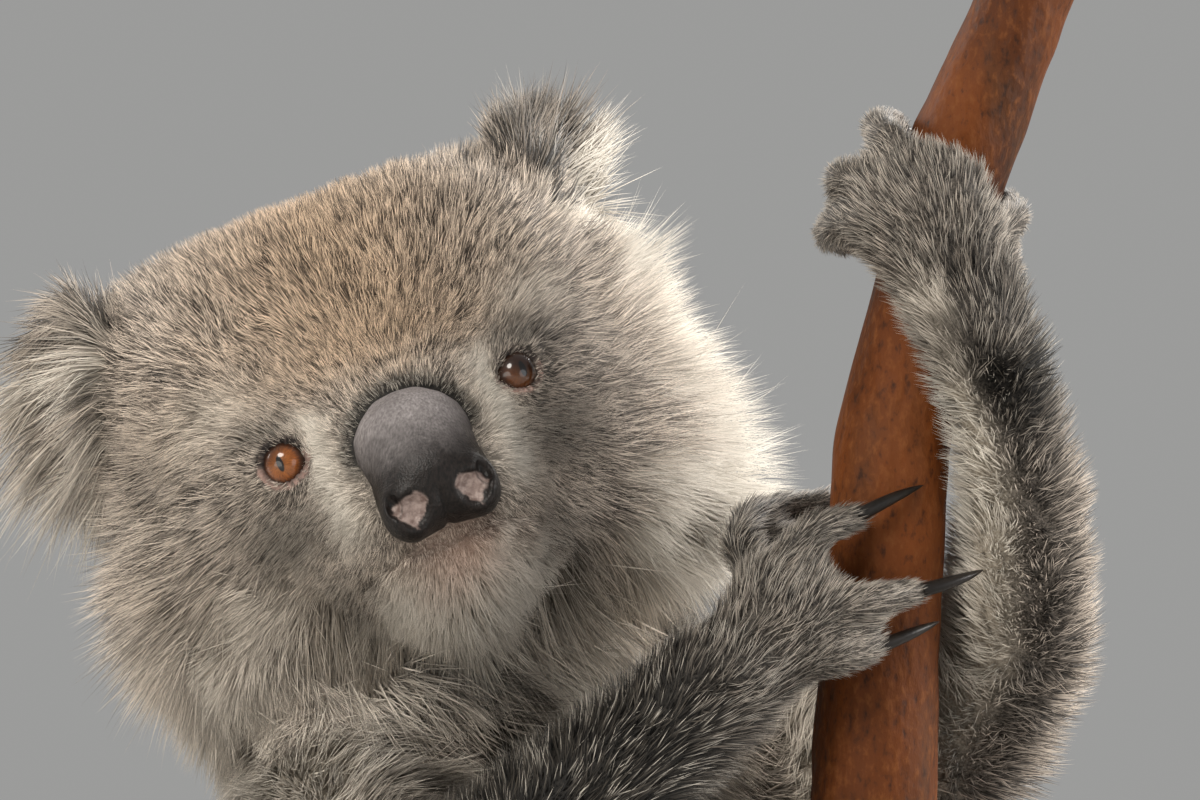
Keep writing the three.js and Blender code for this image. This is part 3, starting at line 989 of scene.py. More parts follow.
# ears: thin cupped shells that carry the long fringe

ear = {
    "sink": 20 * mm,
    "tilt": 0.6,  # how far the outward direction is turned towards the level
    "across": 26 * mm,
    "up": 27 * mm,
    "thick": 5.5 * mm,
    "cup": 9 * mm,
    "rim": 3 * mm,
    "melt": 11 * mm,
    "reach": 60 * mm,
    "skinNear": 2.5 * mm,  # skin this close to the shell carries the ear's hair
}


def earFrame(side):  # centre, outward, upward and forward directions of one ear, from its solid
    points = trianglesOf(["ear_" + side])[0]
    centre = points.mean(0)
    facing = np.linalg.eigh(np.cov((points - centre).T))[1][:, 0]
    facing = facing * -np.sign(facing[1])
    up = headTurn[:, 2]
    outward = centre - headPlace
    outward = unit(outward - facing * (outward @ facing) - ear["tilt"] * up * (outward @ up))
    outward = unit(outward - facing * (outward @ facing))
    upward = unit(np.cross(facing, outward))
    return centre - outward * ear["sink"], outward, upward * np.sign(upward @ up), facing


earFrames = {side: earFrame(side) for side in sides}


def earPlace(points, side):  # outwards and upwards, as shares of its size, and forwards in metres
    centre, outward, upward, facing = earFrames[side]
    q = points - centre
    return q @ outward / ear["across"], q @ upward / ear["up"], q @ facing


def earField(points, side):
    u, v, w = earPlace(points, side)
    far = np.hypot(u, v)
    bowl = w - ear["cup"] * (np.minimum(far, 1.3) ** 2 - 0.6)
    return softMost(np.abs(bowl) - ear["thick"] / 2, (far - 1) * ear["up"], ear["rim"])


# the skin, with the mouth and the lids

lids = {
    "ball": 8.1 * mm,
    "near": 12 * mm,
    "melt": 5 * mm,
    "rim": 1.2 * mm,
    "behind": 1 * mm,  # the opening ends this far before the middle of the eye
    "half": {"right": (5.3 * mm, 4.8 * mm), "left": (4.8 * mm, 4.5 * mm)},  # of the opening, across and up
    "marksNear": 14 * mm,
    "ring": (1.72, 1.5),  # the bare ring's edge, in shares of the opening
    "ringTop": (-0.1, 0.7),  # where the ring grows fainter towards the top, as painted shade of the upper lid, as shares of the opening's height
    "ringFaint": 0.35,
    "line": (1.2, 1.05),  # the dark line along the edge
    "fold": (1.5, 0.16),  # the painted shade of the fold above, and half its width
    "foldFrom": (0.0, 0.6),
}
mouth = {
    # across and up, in head millimetres
    "line": [(-27, -48), (-23, -38), (-13, -36), (0, -36.5), (13, -36), (23, -38), (27, -48)],
    "deep": 1.4 * mm,
    "wide": 1.7,
    "front": (-40, -55),  # the line is cut only in front, in head millimetres
}
faceMesh = {
    "mouthNear": 6,  # in mm, how far from the mouth and from the eyes the faces are split
    "eyeNear": 15 * mm,
    "cuts": 3,
    "rounds": 5,
    "probe": 0.4 * mm,
    "stride": 1.5 * mm,  # the most that a point moves in one step
    "box": ((-48, 48), (-1e3, -32), (-54, 16)),  # where points move, in head millimetres
}
skinCoat = {
    "stride": 4,  # the coat's depth is worked out on a lattice this much coarser
    "near": 30 * mm,
    "farDepth": 10.0,
    "light": 1,  # rounds of softening where the coat is thin, and where it is deep
    "heavy": 5,
    "thin": (8 * mm, 3 * mm),  # the depths softened most and least
}


def lidsAt(points, side):  # 1 on the edge of the opening, the share of its height, forwards, from the middle
    gaze, across, up = gazeOf(side)
    q = points - eyePlaces[side]
    wide, high = lids["half"][side]
    height = q @ up / high
    return np.hypot(q @ across / wide, height), height, q @ gaze, np.linalg.norm(q, axis=1)


def mouthLine(h):  # distance in mm from the line of the closed mouth, seen from in front
    least = np.full(len(h), 1e3)
    p = h[:, [0, 2]]
    corners = np.array(mouth["line"], float)
    for a, b in zip(corners[:-1], corners[1:]):
        t = np.clip((p - a) @ (b - a) / ((b - a) @ (b - a)), 0, 1)
        least = np.minimum(least, np.linalg.norm(p - a - column(t) * (b - a), axis=1))
    return least


def faceField(points, shape):  # the skin's field with mouth and lids
    h = toHead(points)
    crease = blob(mouthLine(h), 0, mouth["wide"]) * ease(*mouth["front"], h[:, 1])
    value = shape.at(points) + mouth["deep"] * crease
    for side in sides:
        open, _, forward, ball = lidsAt(points, side)
        value = softLeast(value, ball - lids["ball"], lids["melt"])
        rim = np.where(ball < lids["near"], (open - 1) * lids["half"][side][1], 1)
        cut = softMost(rim, lids["behind"] - forward, lids["behind"])
        value = softMost(value, -cut, lids["rim"])
    return value


def settle(points, edges, shape):  # moves the points of the face on to the face's field
    free = within(toHead(points), faceMesh["box"])
    average = averager(edges, len(points))
    probe, stride = faceMesh["probe"], faceMesh["stride"]
    for _ in range(faceMesh["rounds"]):
        points[free] = mix(points[free], average(points)[free], 0.5)
        for _ in range(2):
            here = points[free]
            ahead = [faceField(here + probe * axis, shape) for axis in np.eye(3)]
            behind = [faceField(here - probe * axis, shape) for axis in np.eye(3)]
            slope = np.subtract(ahead, behind).T / (2 * probe)
            step = faceField(here, shape) / np.maximum((slope**2).sum(1), 0.3)
            points[free] = here - column(np.clip(step, -stride, stride)) * slope
    return points


def splitFace(mesh):  # smaller faces where the lids and the mouth are
    shape = bmesh.new()
    shape.from_mesh(mesh)
    shape.faces.ensure_lookup_table()
    middles = np.array([face.calc_center_median() for face in shape.faces])
    h = toHead(middles)
    chosen = (mouthLine(h) < faceMesh["mouthNear"]) & (h[:, 1] < -40)
    for centre in eyePlaces.values():
        chosen |= np.linalg.norm(middles - centre, axis=1) < faceMesh["eyeNear"]
    edges = {edge for i in np.flatnonzero(chosen) for edge in shape.faces[i].edges}
    bmesh.ops.subdivide_edges(shape, edges=list(edges), cuts=faceMesh["cuts"], use_grid_fill=True)
    bmesh.ops.triangulate(shape, faces=[face for face in shape.faces if len(face.verts) > 4])
    shape.to_mesh(mesh)
    shape.free()


def coatDepth(field, coatMap):  # the coat's depth on the field's lattice
    stride = skinCoat["stride"]
    coarse = Field(field.values[::stride, ::stride, ::stride], field.low / stride, field.step * stride)
    near = np.abs(coarse.values.ravel()) < skinCoat["near"]
    depth = np.full(near.shape, skinCoat["farDepth"])
    depth[near] = coatMap.at(coarse.places()[near])[:, 0]
    values = depth.reshape(coarse.values.shape) * mm
    for axis, count in enumerate(field.values.shape):
        t = np.clip(np.arange(count) / stride, 0, values.shape[axis] - 1.001)
        cell = t.astype(int)
        t = (t - cell).reshape([-1 if k == axis else 1 for k in range(3)])
        values = mix(values.take(cell, axis), values.take(cell + 1, axis), t)
    return values.astype(np.float32)


def skinField(field, coatMap):  # inside the body's field by the coat's depth, with the ears on it
    depth = coatDepth(field, coatMap)
    shape = Field(field.values + depth, field.low, field.step)
    light, heavy = shape.softened(skinCoat["light"]), shape.softened(skinCoat["heavy"])
    deep, thin = skinCoat["thin"]
    shape.values = mix(heavy.values, light.values, np.clip((deep - depth) / (deep - thin), 0, 1))
    web = (middle("finger_right_1") + middle("finger_right_2")) / 2 + skinShape["webPlace"]
    ball = np.linalg.norm(shape.places() - web, axis=1) - skinShape["web"]
    shape.values = softLeast(shape.values, ball.reshape(shape.values.shape), skinShape["webMelt"])
    for side in sides:
        centre = earFrames[side][0]
        local, place = shape.window(centre - ear["reach"], centre + ear["reach"])
        shell = earField(local.places(), side).reshape(local.values.shape)
        shape.values[place] = softLeast(local.values, shell, ear["melt"])
    return shape


def makeSkin(shape):
    points, quads = shape.surface()
    quads = largestPart(points, quads)
    used, quads = np.unique(quads, return_inverse=True)
    piece = makeMesh("skin", points[used], quads.reshape(-1, 4))
    mesh = piece.data
    splitFace(mesh)
    edges = readAll(mesh.edges, "vertices", 2, np.int32)
    points = settle(readAll(mesh.vertices, "co", 3, np.float32).astype(float), edges, shape)
    mesh.vertices.foreach_set("co", points.astype(np.float32).ravel())
    mesh.update()
    mesh.uv_layers.new(name="unwrap")
    bpy.context.view_layer.objects.active = piece
    piece.select_set(True)
    print("  skin faces", len(mesh.polygons))
    return piece


# markings, the same on the skin and on the coat over it

markSway = Ripple(8 * mm, 61, 2)
faceSpots = {  # across and up from the eyes, width and height, all in mm, and how strong each is; socket, fold and corner are painted shade in the hollow under the eye, in the fold above it and beside the chin
    "brow": ((44, 18, 11, 7), 0.45),
    "socket": ((38, -18, 11, 9), 0.72),
    "fold": ((37, 9, 9, 3.5), 0.6),
    "corner": ((30, -47, 8, 12), 0.8),
}
headPattern = {  # in head millimetres; a pair is where a mark starts and where it is full
    "front": (0, -25),
    "left": (-30, 30),  # from the right half to the left
    "stripe": {"at": 24, "half": 5, "bottom": (-34, -22), "top": (14, 4), "strength": 0.85},
    "chin": {
        "half": (19, 29),  # at its top and at its bottom
        "widening": (-38, -60),
        "edge": (-6, 6),
        "top": (-33, -44),
        "bottom": (-84, -64),
        "uneven": 4,
    },
    "ruff": {
        "half": {"right": (82, 56), "left": (68, 42)},
        "narrowing": {"right": (-18, -60), "left": (-10, -66)},
        "edge": (-8, 8),
        "top": (56, 30),
        "back": (34, 8),
        "lowRight": ((-18, -45), 28),  # low on the right it reaches this much further back
        "rightPale": (0.2, 0.95),  # how pale it is above and below on the right
        "rightPaling": (-8, -26),
        "uneven": (5, 6),
    },
    "jowl": {"top": (-15, -40), "right": (22, 48), "strength": 0.5},
    # painted shade: darker round the lower half of the nose, where the fur meets it
    "noseRim": {"near": (3.4, 1.4), "bottom": (-16, -6)},
    "lip": (0, -42, 13, 8),
    "crown": {"half": 40, "bottom": (4, 22), "back": (60, 10)},
}
bodyPattern = {  # in metres; a pair is where a mark starts and where it is full
    "leftArm": (0, 0.06),
    "wrist": (0.54, 0.59),
    "inner": {"from": (-0.35, 0.1), "full": 0.5},  # how far the skin faces inwards, below and above the wrist
    "throat": (70, 5),  # backwards, in head millimetres
    "chest": (0.1, -0.7),  # how far the skin faces backwards
    "brownBack": (0.3, -0.5),
    "rump": (0.2, 0.02),  # above the lowest point of the torso
    "rightShoulder": (-0.055, -0.085),
    "lowArm": (0.575, 0.53),
    "rightElbow": (-0.105, -0.07),
    "rightUpperArm": (-0.04, -0.09),
    "pale": {"neck": 0.8, "torso": 0.8, "rump": 0.5, "shoulder": 0.75, "leg": 0.3},
    "dark": {"forearm": (0.97, 0.12), "arm": (0.85, 0.12), "hand": (0.85, 0.55), "foot": 0.8},
    "brown": 0.35,
}


def chinMark(across, z, uneven):
    chin = headPattern["chin"]
    inside = mix(*chin["half"], ease(*chin["widening"], z)) - across - chin["uneven"] * uneven[0]
    top = ease(*chin["top"], z + chin["uneven"] * uneven[1])
    return ease(*chin["edge"], inside) * top * ease(*chin["bottom"], z)


def ruffMark(x, y, z, uneven):
    ruff = headPattern["ruff"]
    left = ease(*headPattern["left"], x)
    right, other = (mix(*ruff["half"][side], ease(*ruff["narrowing"][side], z)) for side in sides)
    edge = mix(right, other, left) + ruff["uneven"][0] * uneven[0]
    low, further = ruff["lowRight"]
    behind = y + ruff["uneven"][1] * uneven[1] - further * ease(*low, z) * (1 - left)
    shape = ease(*ruff["edge"], np.abs(x) - edge) * ease(*ruff["top"], z) * ease(*ruff["back"], behind)
    return shape * mix(mix(*ruff["rightPale"], ease(*ruff["rightPaling"], z)), 1, left)


def headMarks(points, onHead):
    x, y, z = toHead(points).T
    across = np.abs(x)
    uneven = markSway.at(points).T
    front = ease(*headPattern["front"], y) * onHead
    spots = {name: spot(across, z, place) * strength for name, (place, strength) in faceSpots.items()}
    stripe, jowl, rim, crown = (headPattern[name] for name in ("stripe", "jowl", "noseRim", "crown"))
    beside = blob(across, stripe["at"], stripe["half"]) * ease(*stripe["bottom"], z) * ease(*stripe["top"], z)
    chin, ruff = chinMark(across, z, uneven), ruffMark(x, y, z, uneven)
    pale = np.maximum.reduce([beside * stripe["strength"], spots["brow"], chin]) * front
    side = np.maximum(ruff, jowl["strength"] * ease(*jowl["top"], z) * ease(*jowl["right"], -x))
    noseRim = ease(*rim["near"], noseShape.at(points) / mm) * ease(*rim["bottom"], z)
    brown = blob(x, 0, crown["half"]) * ease(*crown["bottom"], z) * ease(*crown["back"], y)
    return {
        "cream": np.maximum(pale, side * onHead),
        # on the face the dark mark is painted shade: under and above each eye, beside the chin and round the
        # lower nose
        "dark": np.maximum.reduce([spots["socket"], spots["fold"], spots["corner"], noseRim]) * front,
        "pink": spot(x, z, headPattern["lip"]) * front,
        "brown": brown * onHead,
    }


def bodyMarks(points, normals, part):
    x, _, z = points.T
    body, pale, dark = bodyPattern, bodyPattern["pale"], bodyPattern["dark"]
    leftArm = ease(*body["leftArm"], x)
    inwards = mix(*body["inner"]["from"], ease(*body["wrist"], z))
    inner = (part["forearm"] + part["arm"]) * leftArm * ease(inwards, body["inner"]["full"], -normals[:, 0])
    cream = [
        inner,
        part["neck"] * ease(*body["throat"], toHead(points)[:, 1]) * pale["neck"],
        part["torso"] * ease(*body["chest"], normals[:, 1]) * pale["torso"],
        part["torso"] * ease(*body["rump"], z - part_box("torso")[0].z) * pale["rump"],
        part["arm"] * ease(*body["rightShoulder"], x) * pale["shoulder"],
        part["leg"] * pale["leg"],
    ]
    lowArm = ease(*body["lowArm"], z) * leftArm
    forearm = part["forearm"] * mix(*dark["forearm"], lowArm) * ease(*body["rightElbow"], x)
    arm = part["arm"] * mix(*dark["arm"], np.maximum(lowArm, ease(*body["rightUpperArm"], x)))
    hand = part["hand"] * mix(*dark["hand"], leftArm)
    return {
        "cream": np.maximum.reduce(cream),
        "dark": (forearm + arm + hand + part["foot"] * dark["foot"]) * (1 - inner),
        "brown": part["torso"] * body["brown"] * ease(*body["brownBack"], normals[:, 1]),
    }


def markings(points, normals, share):
    part = dict(zip(groups, share.T))
    marks = headMarks(points, part["head"])
    for key, values in bodyMarks(points, normals, part).items():
        marks[key] = np.maximum(marks[key], values)
    return marks


def lidMarks(points):  # the bare ring round each eye, fainter at the top as painted shade of the upper lid, the dark line along its edge, and the painted shade of its fold
    ring, line = np.zeros((2, len(points)))
    for side in sides:
        open, height, _, ball = lidsAt(points, side)
        near = ball < lids["marksNear"]
        faint = mix(1, lids["ringFaint"], ease(*lids["ringTop"], height))
        ring = np.maximum(ring, near * ease(*lids["ring"], open) * faint)
        fold = blob(open, *lids["fold"]) * ease(*lids["foldFrom"], height)
        line = np.maximum(line, near * np.maximum(ease(*lids["line"], open), fold))
    return {"lid": ring, "lash": line}


# finishes of the coat and of the skin under it

coatColours = {  # root and tip of each kind of hair
    "grey": ((0.024, 0.02, 0.017, 1), (0.9, 0.77, 0.645, 1)),
    "brown": ((0.028, 0.019, 0.012, 1), (0.84, 0.62, 0.43, 1)),
    "cream": ((0.33, 0.285, 0.225, 1), (0.93, 0.87, 0.77, 1)),
    "pink": ((0.3, 0.18, 0.13, 1), (0.7, 0.5, 0.4, 1)),
    # dark: dark fur on the limbs, and painted shade where the face's dark marks lie
    "dark": ((0.004, 0.0034, 0.0027, 1), (0.042, 0.035, 0.026, 1)),
}
kinds = {"brown": 1.0, "cream": 1.0, "pink": 0.85, "dark": 1.0}  # how much of each its mask lays on, in order


def hairEnds(finish):  # the colours of the roots and of the tips
    masks = {kind: finish.mask(kind) for kind in kinds}
    ends = []
    for end in (0, 1):
        colour = coatColours["grey"][end]
        for kind, share in kinds.items():
            colour = finish.mixed(masks[kind] * share, colour, coatColours[kind][end])
        ends.append(colour)
    return ends


def setHair(finish, colour):
    finish.set("Base Color", colour)
    finish.set("Roughness", 0.62)
    finish.set("Specular IOR Level", 0.28)
    finish.set("Sheen Weight", 0.06)
    finish.set("Sheen Roughness", 0.4)
    return finish


def coatFinish():
    finish = Finish("coat_hair")
    root, tip = hairEnds(finish)
    along = finish.mask("along")
    pale = (along * 1.35 * finish.mask("tint") * (finish.noise(55, 3) * 0.9 + 0.55)).held()
    ticked = finish.mask("ticked") * finish.mask("dark") * along.over(0.2, 0.75)
    return setHair(finish, finish.mixed(ticked, finish.mixed(pale, root, tip), (0.72, 0.66, 0.57, 1)))


def hideFinish():
    finish = Finish("skin_hide")
    root, tip = hairEnds(finish)
    under = finish.noise(1300, 3, (1, 1, 1), 0.7).over(0.35, 0.7) * (finish.noise(55, 3) * 0.4 + 0.15)
    bare = finish.mixed(finish.noise(700, 2), (0.2, 0.11, 0.085, 1), (0.48, 0.34, 0.29, 1))
    colour = finish.mixed(finish.mask("lid"), finish.mixed(under, root, tip), bare)
    finish.set("Normal", finish.bump(finish.noise(900, 2), 0.4, 0.001))
    # the dark lid line, and the painted shade in the fold above each eye
    return setHair(finish, finish.mixed(finish.mask("lash"), colour, (0.012, 0.008, 0.007, 1)))


# the skin as the coat reads it


class Skin:  # the finished skin's arrays
    def __init__(self, piece, coatMap):
        mesh = piece.data
        mesh.calc_loop_triangles()
        self.piece = piece
        self.points = readAll(mesh.vertices, "co", 3, np.float32).astype(float)
        self.triangles = readAll(mesh.loop_triangles, "vertices", 3, np.int32)
        self.loops = readAll(mesh.loop_triangles, "loops", 3, np.int32)
        self.faces = readAll(mesh.loop_triangles, "polygon_index", 1, np.int32).ravel()
        self.normals = pointNormals(self.points, self.triangles)
        rows = coatMap.at(self.points)
        self.depth, self.lift, self.lie, self.share = rows[:, 0], rows[:, 1], rows[:, 2:5], rows[:, 5:]
        self.area = areasOf(self.points[self.triangles])
        self.middle = self.over(self.points)
        self.grown = self.over(growth(self.points)[0])
        self.limbSide = self.over(self.sidesOfLimbs())

    def over(self, values):  # a value of each triangle
        return values[self.triangles].mean(1)

    def sidesOfLimbs(self):  # 1 on the left limbs, -1 on the right ones and 0 elsewhere
        sided = [trianglesOf([n])[0] for n in fleshNodes if "left" in n or "right" in n]
        signs = [sides["left" if "left" in n else "right"] for n in fleshNodes if "left" in n or "right" in n]
        signs = np.repeat(signs, [len(places) for places in sided])
        tree = treeOf(np.concatenate(sided))
        found = np.zeros(len(self.points))
        limbs = self.share[:, groups.index("arm") :].sum(1) > 0.2
        found[limbs] = [signs[tree.find(place)[1]] for place in self.points[limbs]]
        return found


def unwrap(skin, chosen):  # lays the chosen part of the skin out flat over the whole map
    mesh = skin.piece.data
    faces = np.zeros(len(mesh.polygons), bool)
    faces[skin.faces[chosen]] = True
    mesh.polygons.foreach_set("select", faces)
    bpy.ops.object.mode_set(mode="EDIT")
    bpy.ops.uv.smart_project(angle_limit=math.radians(66), island_margin=0.001)
    bpy.ops.object.mode_set(mode="OBJECT")
    return readAll(mesh.uv_layers.active.data, "uv", 2, np.float32)


far = 1e3
headRegions = {  # across from the middle, back and up, in head millimetres; a later one takes what it covers
    "coat_nape": ((-far, far), (-far, far), (-far, far)),
    "coat_crown": ((-far, far), (-far, 36), (24, far)),
    "coat_cheek": ((52, far), (-far, 40), (-far, 24)),
    "coat_face": ((-far, 58), (-far, -12), (-80, 30)),
}


def regionsOf(skin):  # the coat piece that each triangle of the skin belongs to
    h = toHead(skin.middle)
    side = np.where(h[:, 0] < 0, "_right", "_left").astype(object)
    h[:, 0] = np.abs(h[:, 0])
    limbSide = np.where(skin.limbSide > 0, "_left", "_right").astype(object)
    group = np.array(groups, object)[skin.over(skin.share).argmax(1)]
    limb = ~np.isin(group, ["head", "neck", "torso"])
    region = "coat_" + group
    region[limb] += limbSide[limb]
    for name, box in headRegions.items():
        here = (group == "head") & within(h, box)
        region[here] = name + side[here] if name in ("coat_cheek", "coat_face") else name
    for name in sides:
        region[earField(skin.middle, name) < ear["skinNear"]] = "coat_ear_" + name
    return region


# the ears' hair

earHair = {  # lengths in mm and lifts in degrees; a pair of shares is where something starts and is full
    "length": {"middle": 26, "top": 14, "inner": 0.8, "back": 13},
    "lift": {"middle": 24, "top": 34, "back": 30},
    "front": (-0.2, 0.4),
    "upper": (0.3, 0.75),
    "outer": (-0.3, 0.7),
    "left": {
        "middle": 0.3,  # how much the hair rises for its length outwards
        "top": 1.3,
        "bottom": -4.0,
        "low": (-0.1, -0.4),  # where the lowest hair starts and is full, as shares of the ear's size
        "lowLength": 14,
        "darkest": 0.62,  # how dark the hair between the pale strands is
    },
    "right": {
        "middle": -0.4,
        "top": -0.1,
        "bottom": -1.0,
        "low": (0.05, -0.6),
        "lowLength": 30,
        "darkest": 0.42,
    },
}


def earLie(points, normals, side):  # short hair on the back and along the top, a long fringe in front
    _, outward, upward, facing = earFrames[side]
    hair, long, lifts = earHair[side], earHair["length"], earHair["lift"]
    u, v, _ = earPlace(points, side)
    front = ease(*earHair["front"], normals @ facing)
    top = ease(*earHair["upper"], v)
    low = ease(*hair["low"], v)
    rise = mix(mix(hair["middle"], hair["top"], top), hair["bottom"], low)
    length = mix(mix(long["middle"], long["top"], top), hair["lowLength"], low)
    length = length * mix(long["inner"], 1, ease(*earHair["outer"], u))
    length = mix(np.minimum(length, long["back"]), length, front)
    lift = mix(lifts["back"], mix(lifts["middle"], lifts["top"], top), front)
    return unit(outward + column(rise) * upward), lift, length * mm


def earMarks(points, normals, side, rng):
    u, v, _ = earPlace(points, side)
    front = ease(*earHair["front"], normals @ earFrames[side][3])
    strands = mix(0.4, 1, ease(0.05, 0.6, rng.random(len(points))))
    if side == "left":
        cream = ease(0.62, 0.35, v + 0.25 * u) * ease(-0.75, -0.4, u) * mix(0.8, 1, strands)
        upper, lower = (-0.55, 0.35, 0.25, 0.3), (-0.2, -0.15, 0.2, 0.22)
        dark = np.maximum(0.7 * spot(u, v, upper), 0.9 * spot(u, v, lower))
    else:
        bands = 0.85 * blob(v, 0.3, 0.22) + 0.6 * blob(v, -0.45, 0.3) + 0.9 * ease(-0.65, -0.95, v)
        cream = np.clip(bands, 0, 1) * strands
        dark = 0.45 * blob(v, -0.08, 0.16) * ease(0.9, 0.3, u)
    dark = np.maximum(dark, earHair[side]["darkest"] * (1 - cream))
    return {"cream": cream * front, "dark": mix(0.3, dark, front), "pink": 0 * u, "brown": 0.1 * front}


# tufts

tuft = {
    "patch": 0.003,  # its size on the coat's map
    "sunk": 0.5 * mm,  # how far its root is below the skin
    "flat": 0.55,
    "middle": (0.5, 0.8),  # the second ring of a lock: how far along, and how wide
    "length": 0.88,  # of the length asked for, since a tuft comes to a point
    "curl": 0.28,  # how far a lock's tip bends back to the lie, as a share of its length
    "inwards": 0.35,  # and how far towards the skin
    "scatter": 0.09,
    "droop": 0.12,  # how far a tuft this long hangs
    "droopLength": 30 * mm,
    "girth": (0.6, 1.3),
}


def tuftMesh(root, normal, way, length, wide, bend, form):  # rings of three points, then the tip
    count = len(root)
    side = unit(np.cross(way, normal))
    deep = np.cross(way, side)
    levels = [(0, 1.0), tuft["middle"]] if form == "lock" else [(0, 1.0)]
    stack, shade, along = [], [], []
    for share, girth in levels:
        centre = root + way * column(length * share) + bend * (0.5 * share**2)
        centre = centre - normal * (tuft["sunk"] * (share == 0))
        for angle in ringOf(3):
            out = side * math.cos(angle) + deep * (tuft["flat"] * math.sin(angle))
            stack.append(centre + out * column(wide * girth))
            shade.append(unit(normal * 0.9 + out * 0.75))
            along.append(np.full(count, share))
    stack.append(root + way * column(length) + bend)
    shade.append(unit(normal * 0.9 + way * 0.3))
    along.append(np.ones(count))
    faces = (np.arange(count)[:, None, None] * len(stack) + tuftFaces(len(stack) - 1)).reshape(-1, 3)
    points, shades = (np.stack(part, 1).reshape(-1, 3) for part in (stack, shade))
    return points, shades, faces, np.stack(along, 1).ravel()


def tuftFaces(tip):  # the root's end, the sides and the tip's faces; tip is the number of its point
    faces = [(2, 1, 0)]
    for low in range(0, tip - 3, 3):
        for k in range(3):
            after = (k + 1) % 3
            faces += [(low + k, low + after, low + 3 + after), (low + k, low + 3 + after, low + 3 + k)]
    faces += [(tip - 3 + k, tip - 3 + (k + 1) % 3, tip) for k in range(3)]
    return np.array(faces)


patchRows = {  # where a tuft's points lie in its patch, in shares of it
    "needle": [(-0.5, -0.5), (0.5, -0.5), (0, -0.25), (0, 0.5)],
    "lock": [(-0.5, -0.5), (0.5, -0.5), (0, -0.25), (-0.35, 0.0), (0.35, 0.0), (0, 0.15), (0, 0.5)],
}


def gathered(root, way, length, every, hold, rng):  # draws the tips together into wisps
    leaders = rng.choice(len(root), len(root) // every, replace=False)
    tree = treeOf(root[leaders])
    wisp = np.array([tree.find(place)[1] for place in root])
    tips = root + way * column(length)
    share = hold * rng.uniform(0.2, 1, len(leaders))[wisp]
    reach = mix(tips, tips[leaders[wisp]], column(share)) - root
    return unit(reach), np.linalg.norm(reach, axis=1), rng.uniform(-1, 1, len(leaders))[wisp]


# the coat

coatPieces = {  # how many tufts, their form, half width in mm, slot, and the parts they stand for
    "coat_face": (42000, "needle", 0.21, "grey_coat", ["head"]),
    "coat_crown": (34000, "needle", 0.26, "grey_coat", ["head"]),
    "coat_nape": (6500, "lock", 0.55, "grey_coat", ["head"]),
    "coat_cheek": (31000, "needle", 0.27, "grey_coat", ["head"]),
    "coat_ear": (7000, "lock", 0.25, "pale_coat", ["ear"]),
    "coat_neck": (27000, "needle", 0.38, "pale_coat", ["neck"]),
    "coat_torso": (24000, "needle", 1.15, "grey_coat", ["torso"]),
    "coat_arm": (11000, "needle", 0.38, "dark_coat", ["upper_arm"]),
    "coat_forearm": (12500, "needle", 0.34, "dark_coat", ["forearm"]),
    "coat_hand": (12500, "needle", 0.22, "dark_coat", ["palm", "finger"]),
    "coat_leg": (8000, "needle", 0.82, "grey_coat", ["thigh", "shank"]),
    "coat_foot": (3500, "needle", 0.4, "dark_coat", ["foot", "toe"]),
}
wisps = {  # how many tufts draw together on each, and how closely
    "coat_face": (16, 0.35),
    "coat_crown": (16, 0.4),
    "coat_nape": (14, 0.5),
    "coat_cheek": (34, 0.6),
    "coat_ear": (26, 0.65),
    "coat_neck": (26, 0.65),
    "coat_torso": (16, 0.6),
    "coat_arm": (16, 0.25),
    "coat_forearm": (16, 0.45),
    "coat_hand": (12, 0.3),
    "coat_leg": (14, 0.5),
    "coat_foot": (10, 0.3),
}
coatSpread = {
    "least": 3.0,  # below this depth in mm, tufts stand no closer
    "power": 1.3,  # how much closer they stand where the coat is shallow
    "rough": {"head": 0.35, "arm": 0.05, "other": 0.15},  # the share of tufts that stray
    "stray": 0.34,  # how far they do, and how far the others do
    "steady": 0.12,
    "strayLength": 1.1,
    "broadSway": 0.2,
    "fineSway": {"head": 0.24, "other": 0.12},
    "lengthSway": 0.12,
    "lengths": (-2, 1.4, 0.2),  # the least and the most of the random part, and its strength
    "leastRise": 0.16,  # how far every tuft rises from the skin, for its length
    "mostDepth": 1.3,  # how far a tip stands from the skin, against the coat's depth
    "earDepth": 0.7,  # the ear's depth against its length
}
tints = {
    "pale": 0.42,  # the share of pale tufts
    "paleTint": (0.8, 1.4),
    "darkTint": (0.03, 0.34),
    "clumps": 0.15,
    "range": (0.03, 1.2),
    "cream": 0.74,  # the least in the cream marks
    "wisps": 0.32,
    "broad": (0.6, 0.55, (0.4, 1.1)),  # broad tufts are drawn to this tint, this far, between these widths
}
ticking = {"coat_hand": 0.6, "coat_face": 0.5, "coat_forearm": 0.2}  # the share of pale-tipped dark tufts
fewTicks = 0.08
headPieces = ("coat_crown", "coat_face", "coat_nape", "coat_cheek")
broadSway = Ripple(11 * mm, 21, 3)
fineSway = Ripple(2.6 * mm, 22, 3)
lengthSway = Ripple(6 * mm, 23)
clumps = Ripple(2.2 * mm, 24)

rims = {  # where hair starts and is full, where it is long, and how short it starts
    "lid": {"grows": (1.38, 1.58), "long": (1.3, 2.8), "short": 0.4},  # in shares of the eye's opening
    "nose": {"grows": (0.2, 0.9), "long": (0, 4.8), "short": 0.42},  # in mm
    "bark": {"grows": (1.5, 4.0), "long": (1.5, 6.0), "short": 0.5},
}
longer = [  # across from the middle, up, width and height, in head millimetres, and how much longer
    ((70, -52, 22, 26), 0.8),
    ((0, -64, 28, 9), 0.8),
    ((-88, -12, 18, 22), 0.7),
]
longJaw = ((29, -56, 8, 12), 0.9)  # on both sides
shortLip = ((0, -39, 14, 8), 0.6)
earNotch = {"in": 6 * mm, "up": 0.75, "near": (32 * mm, 12 * mm), "longer": 0.55}  # above the ear's root


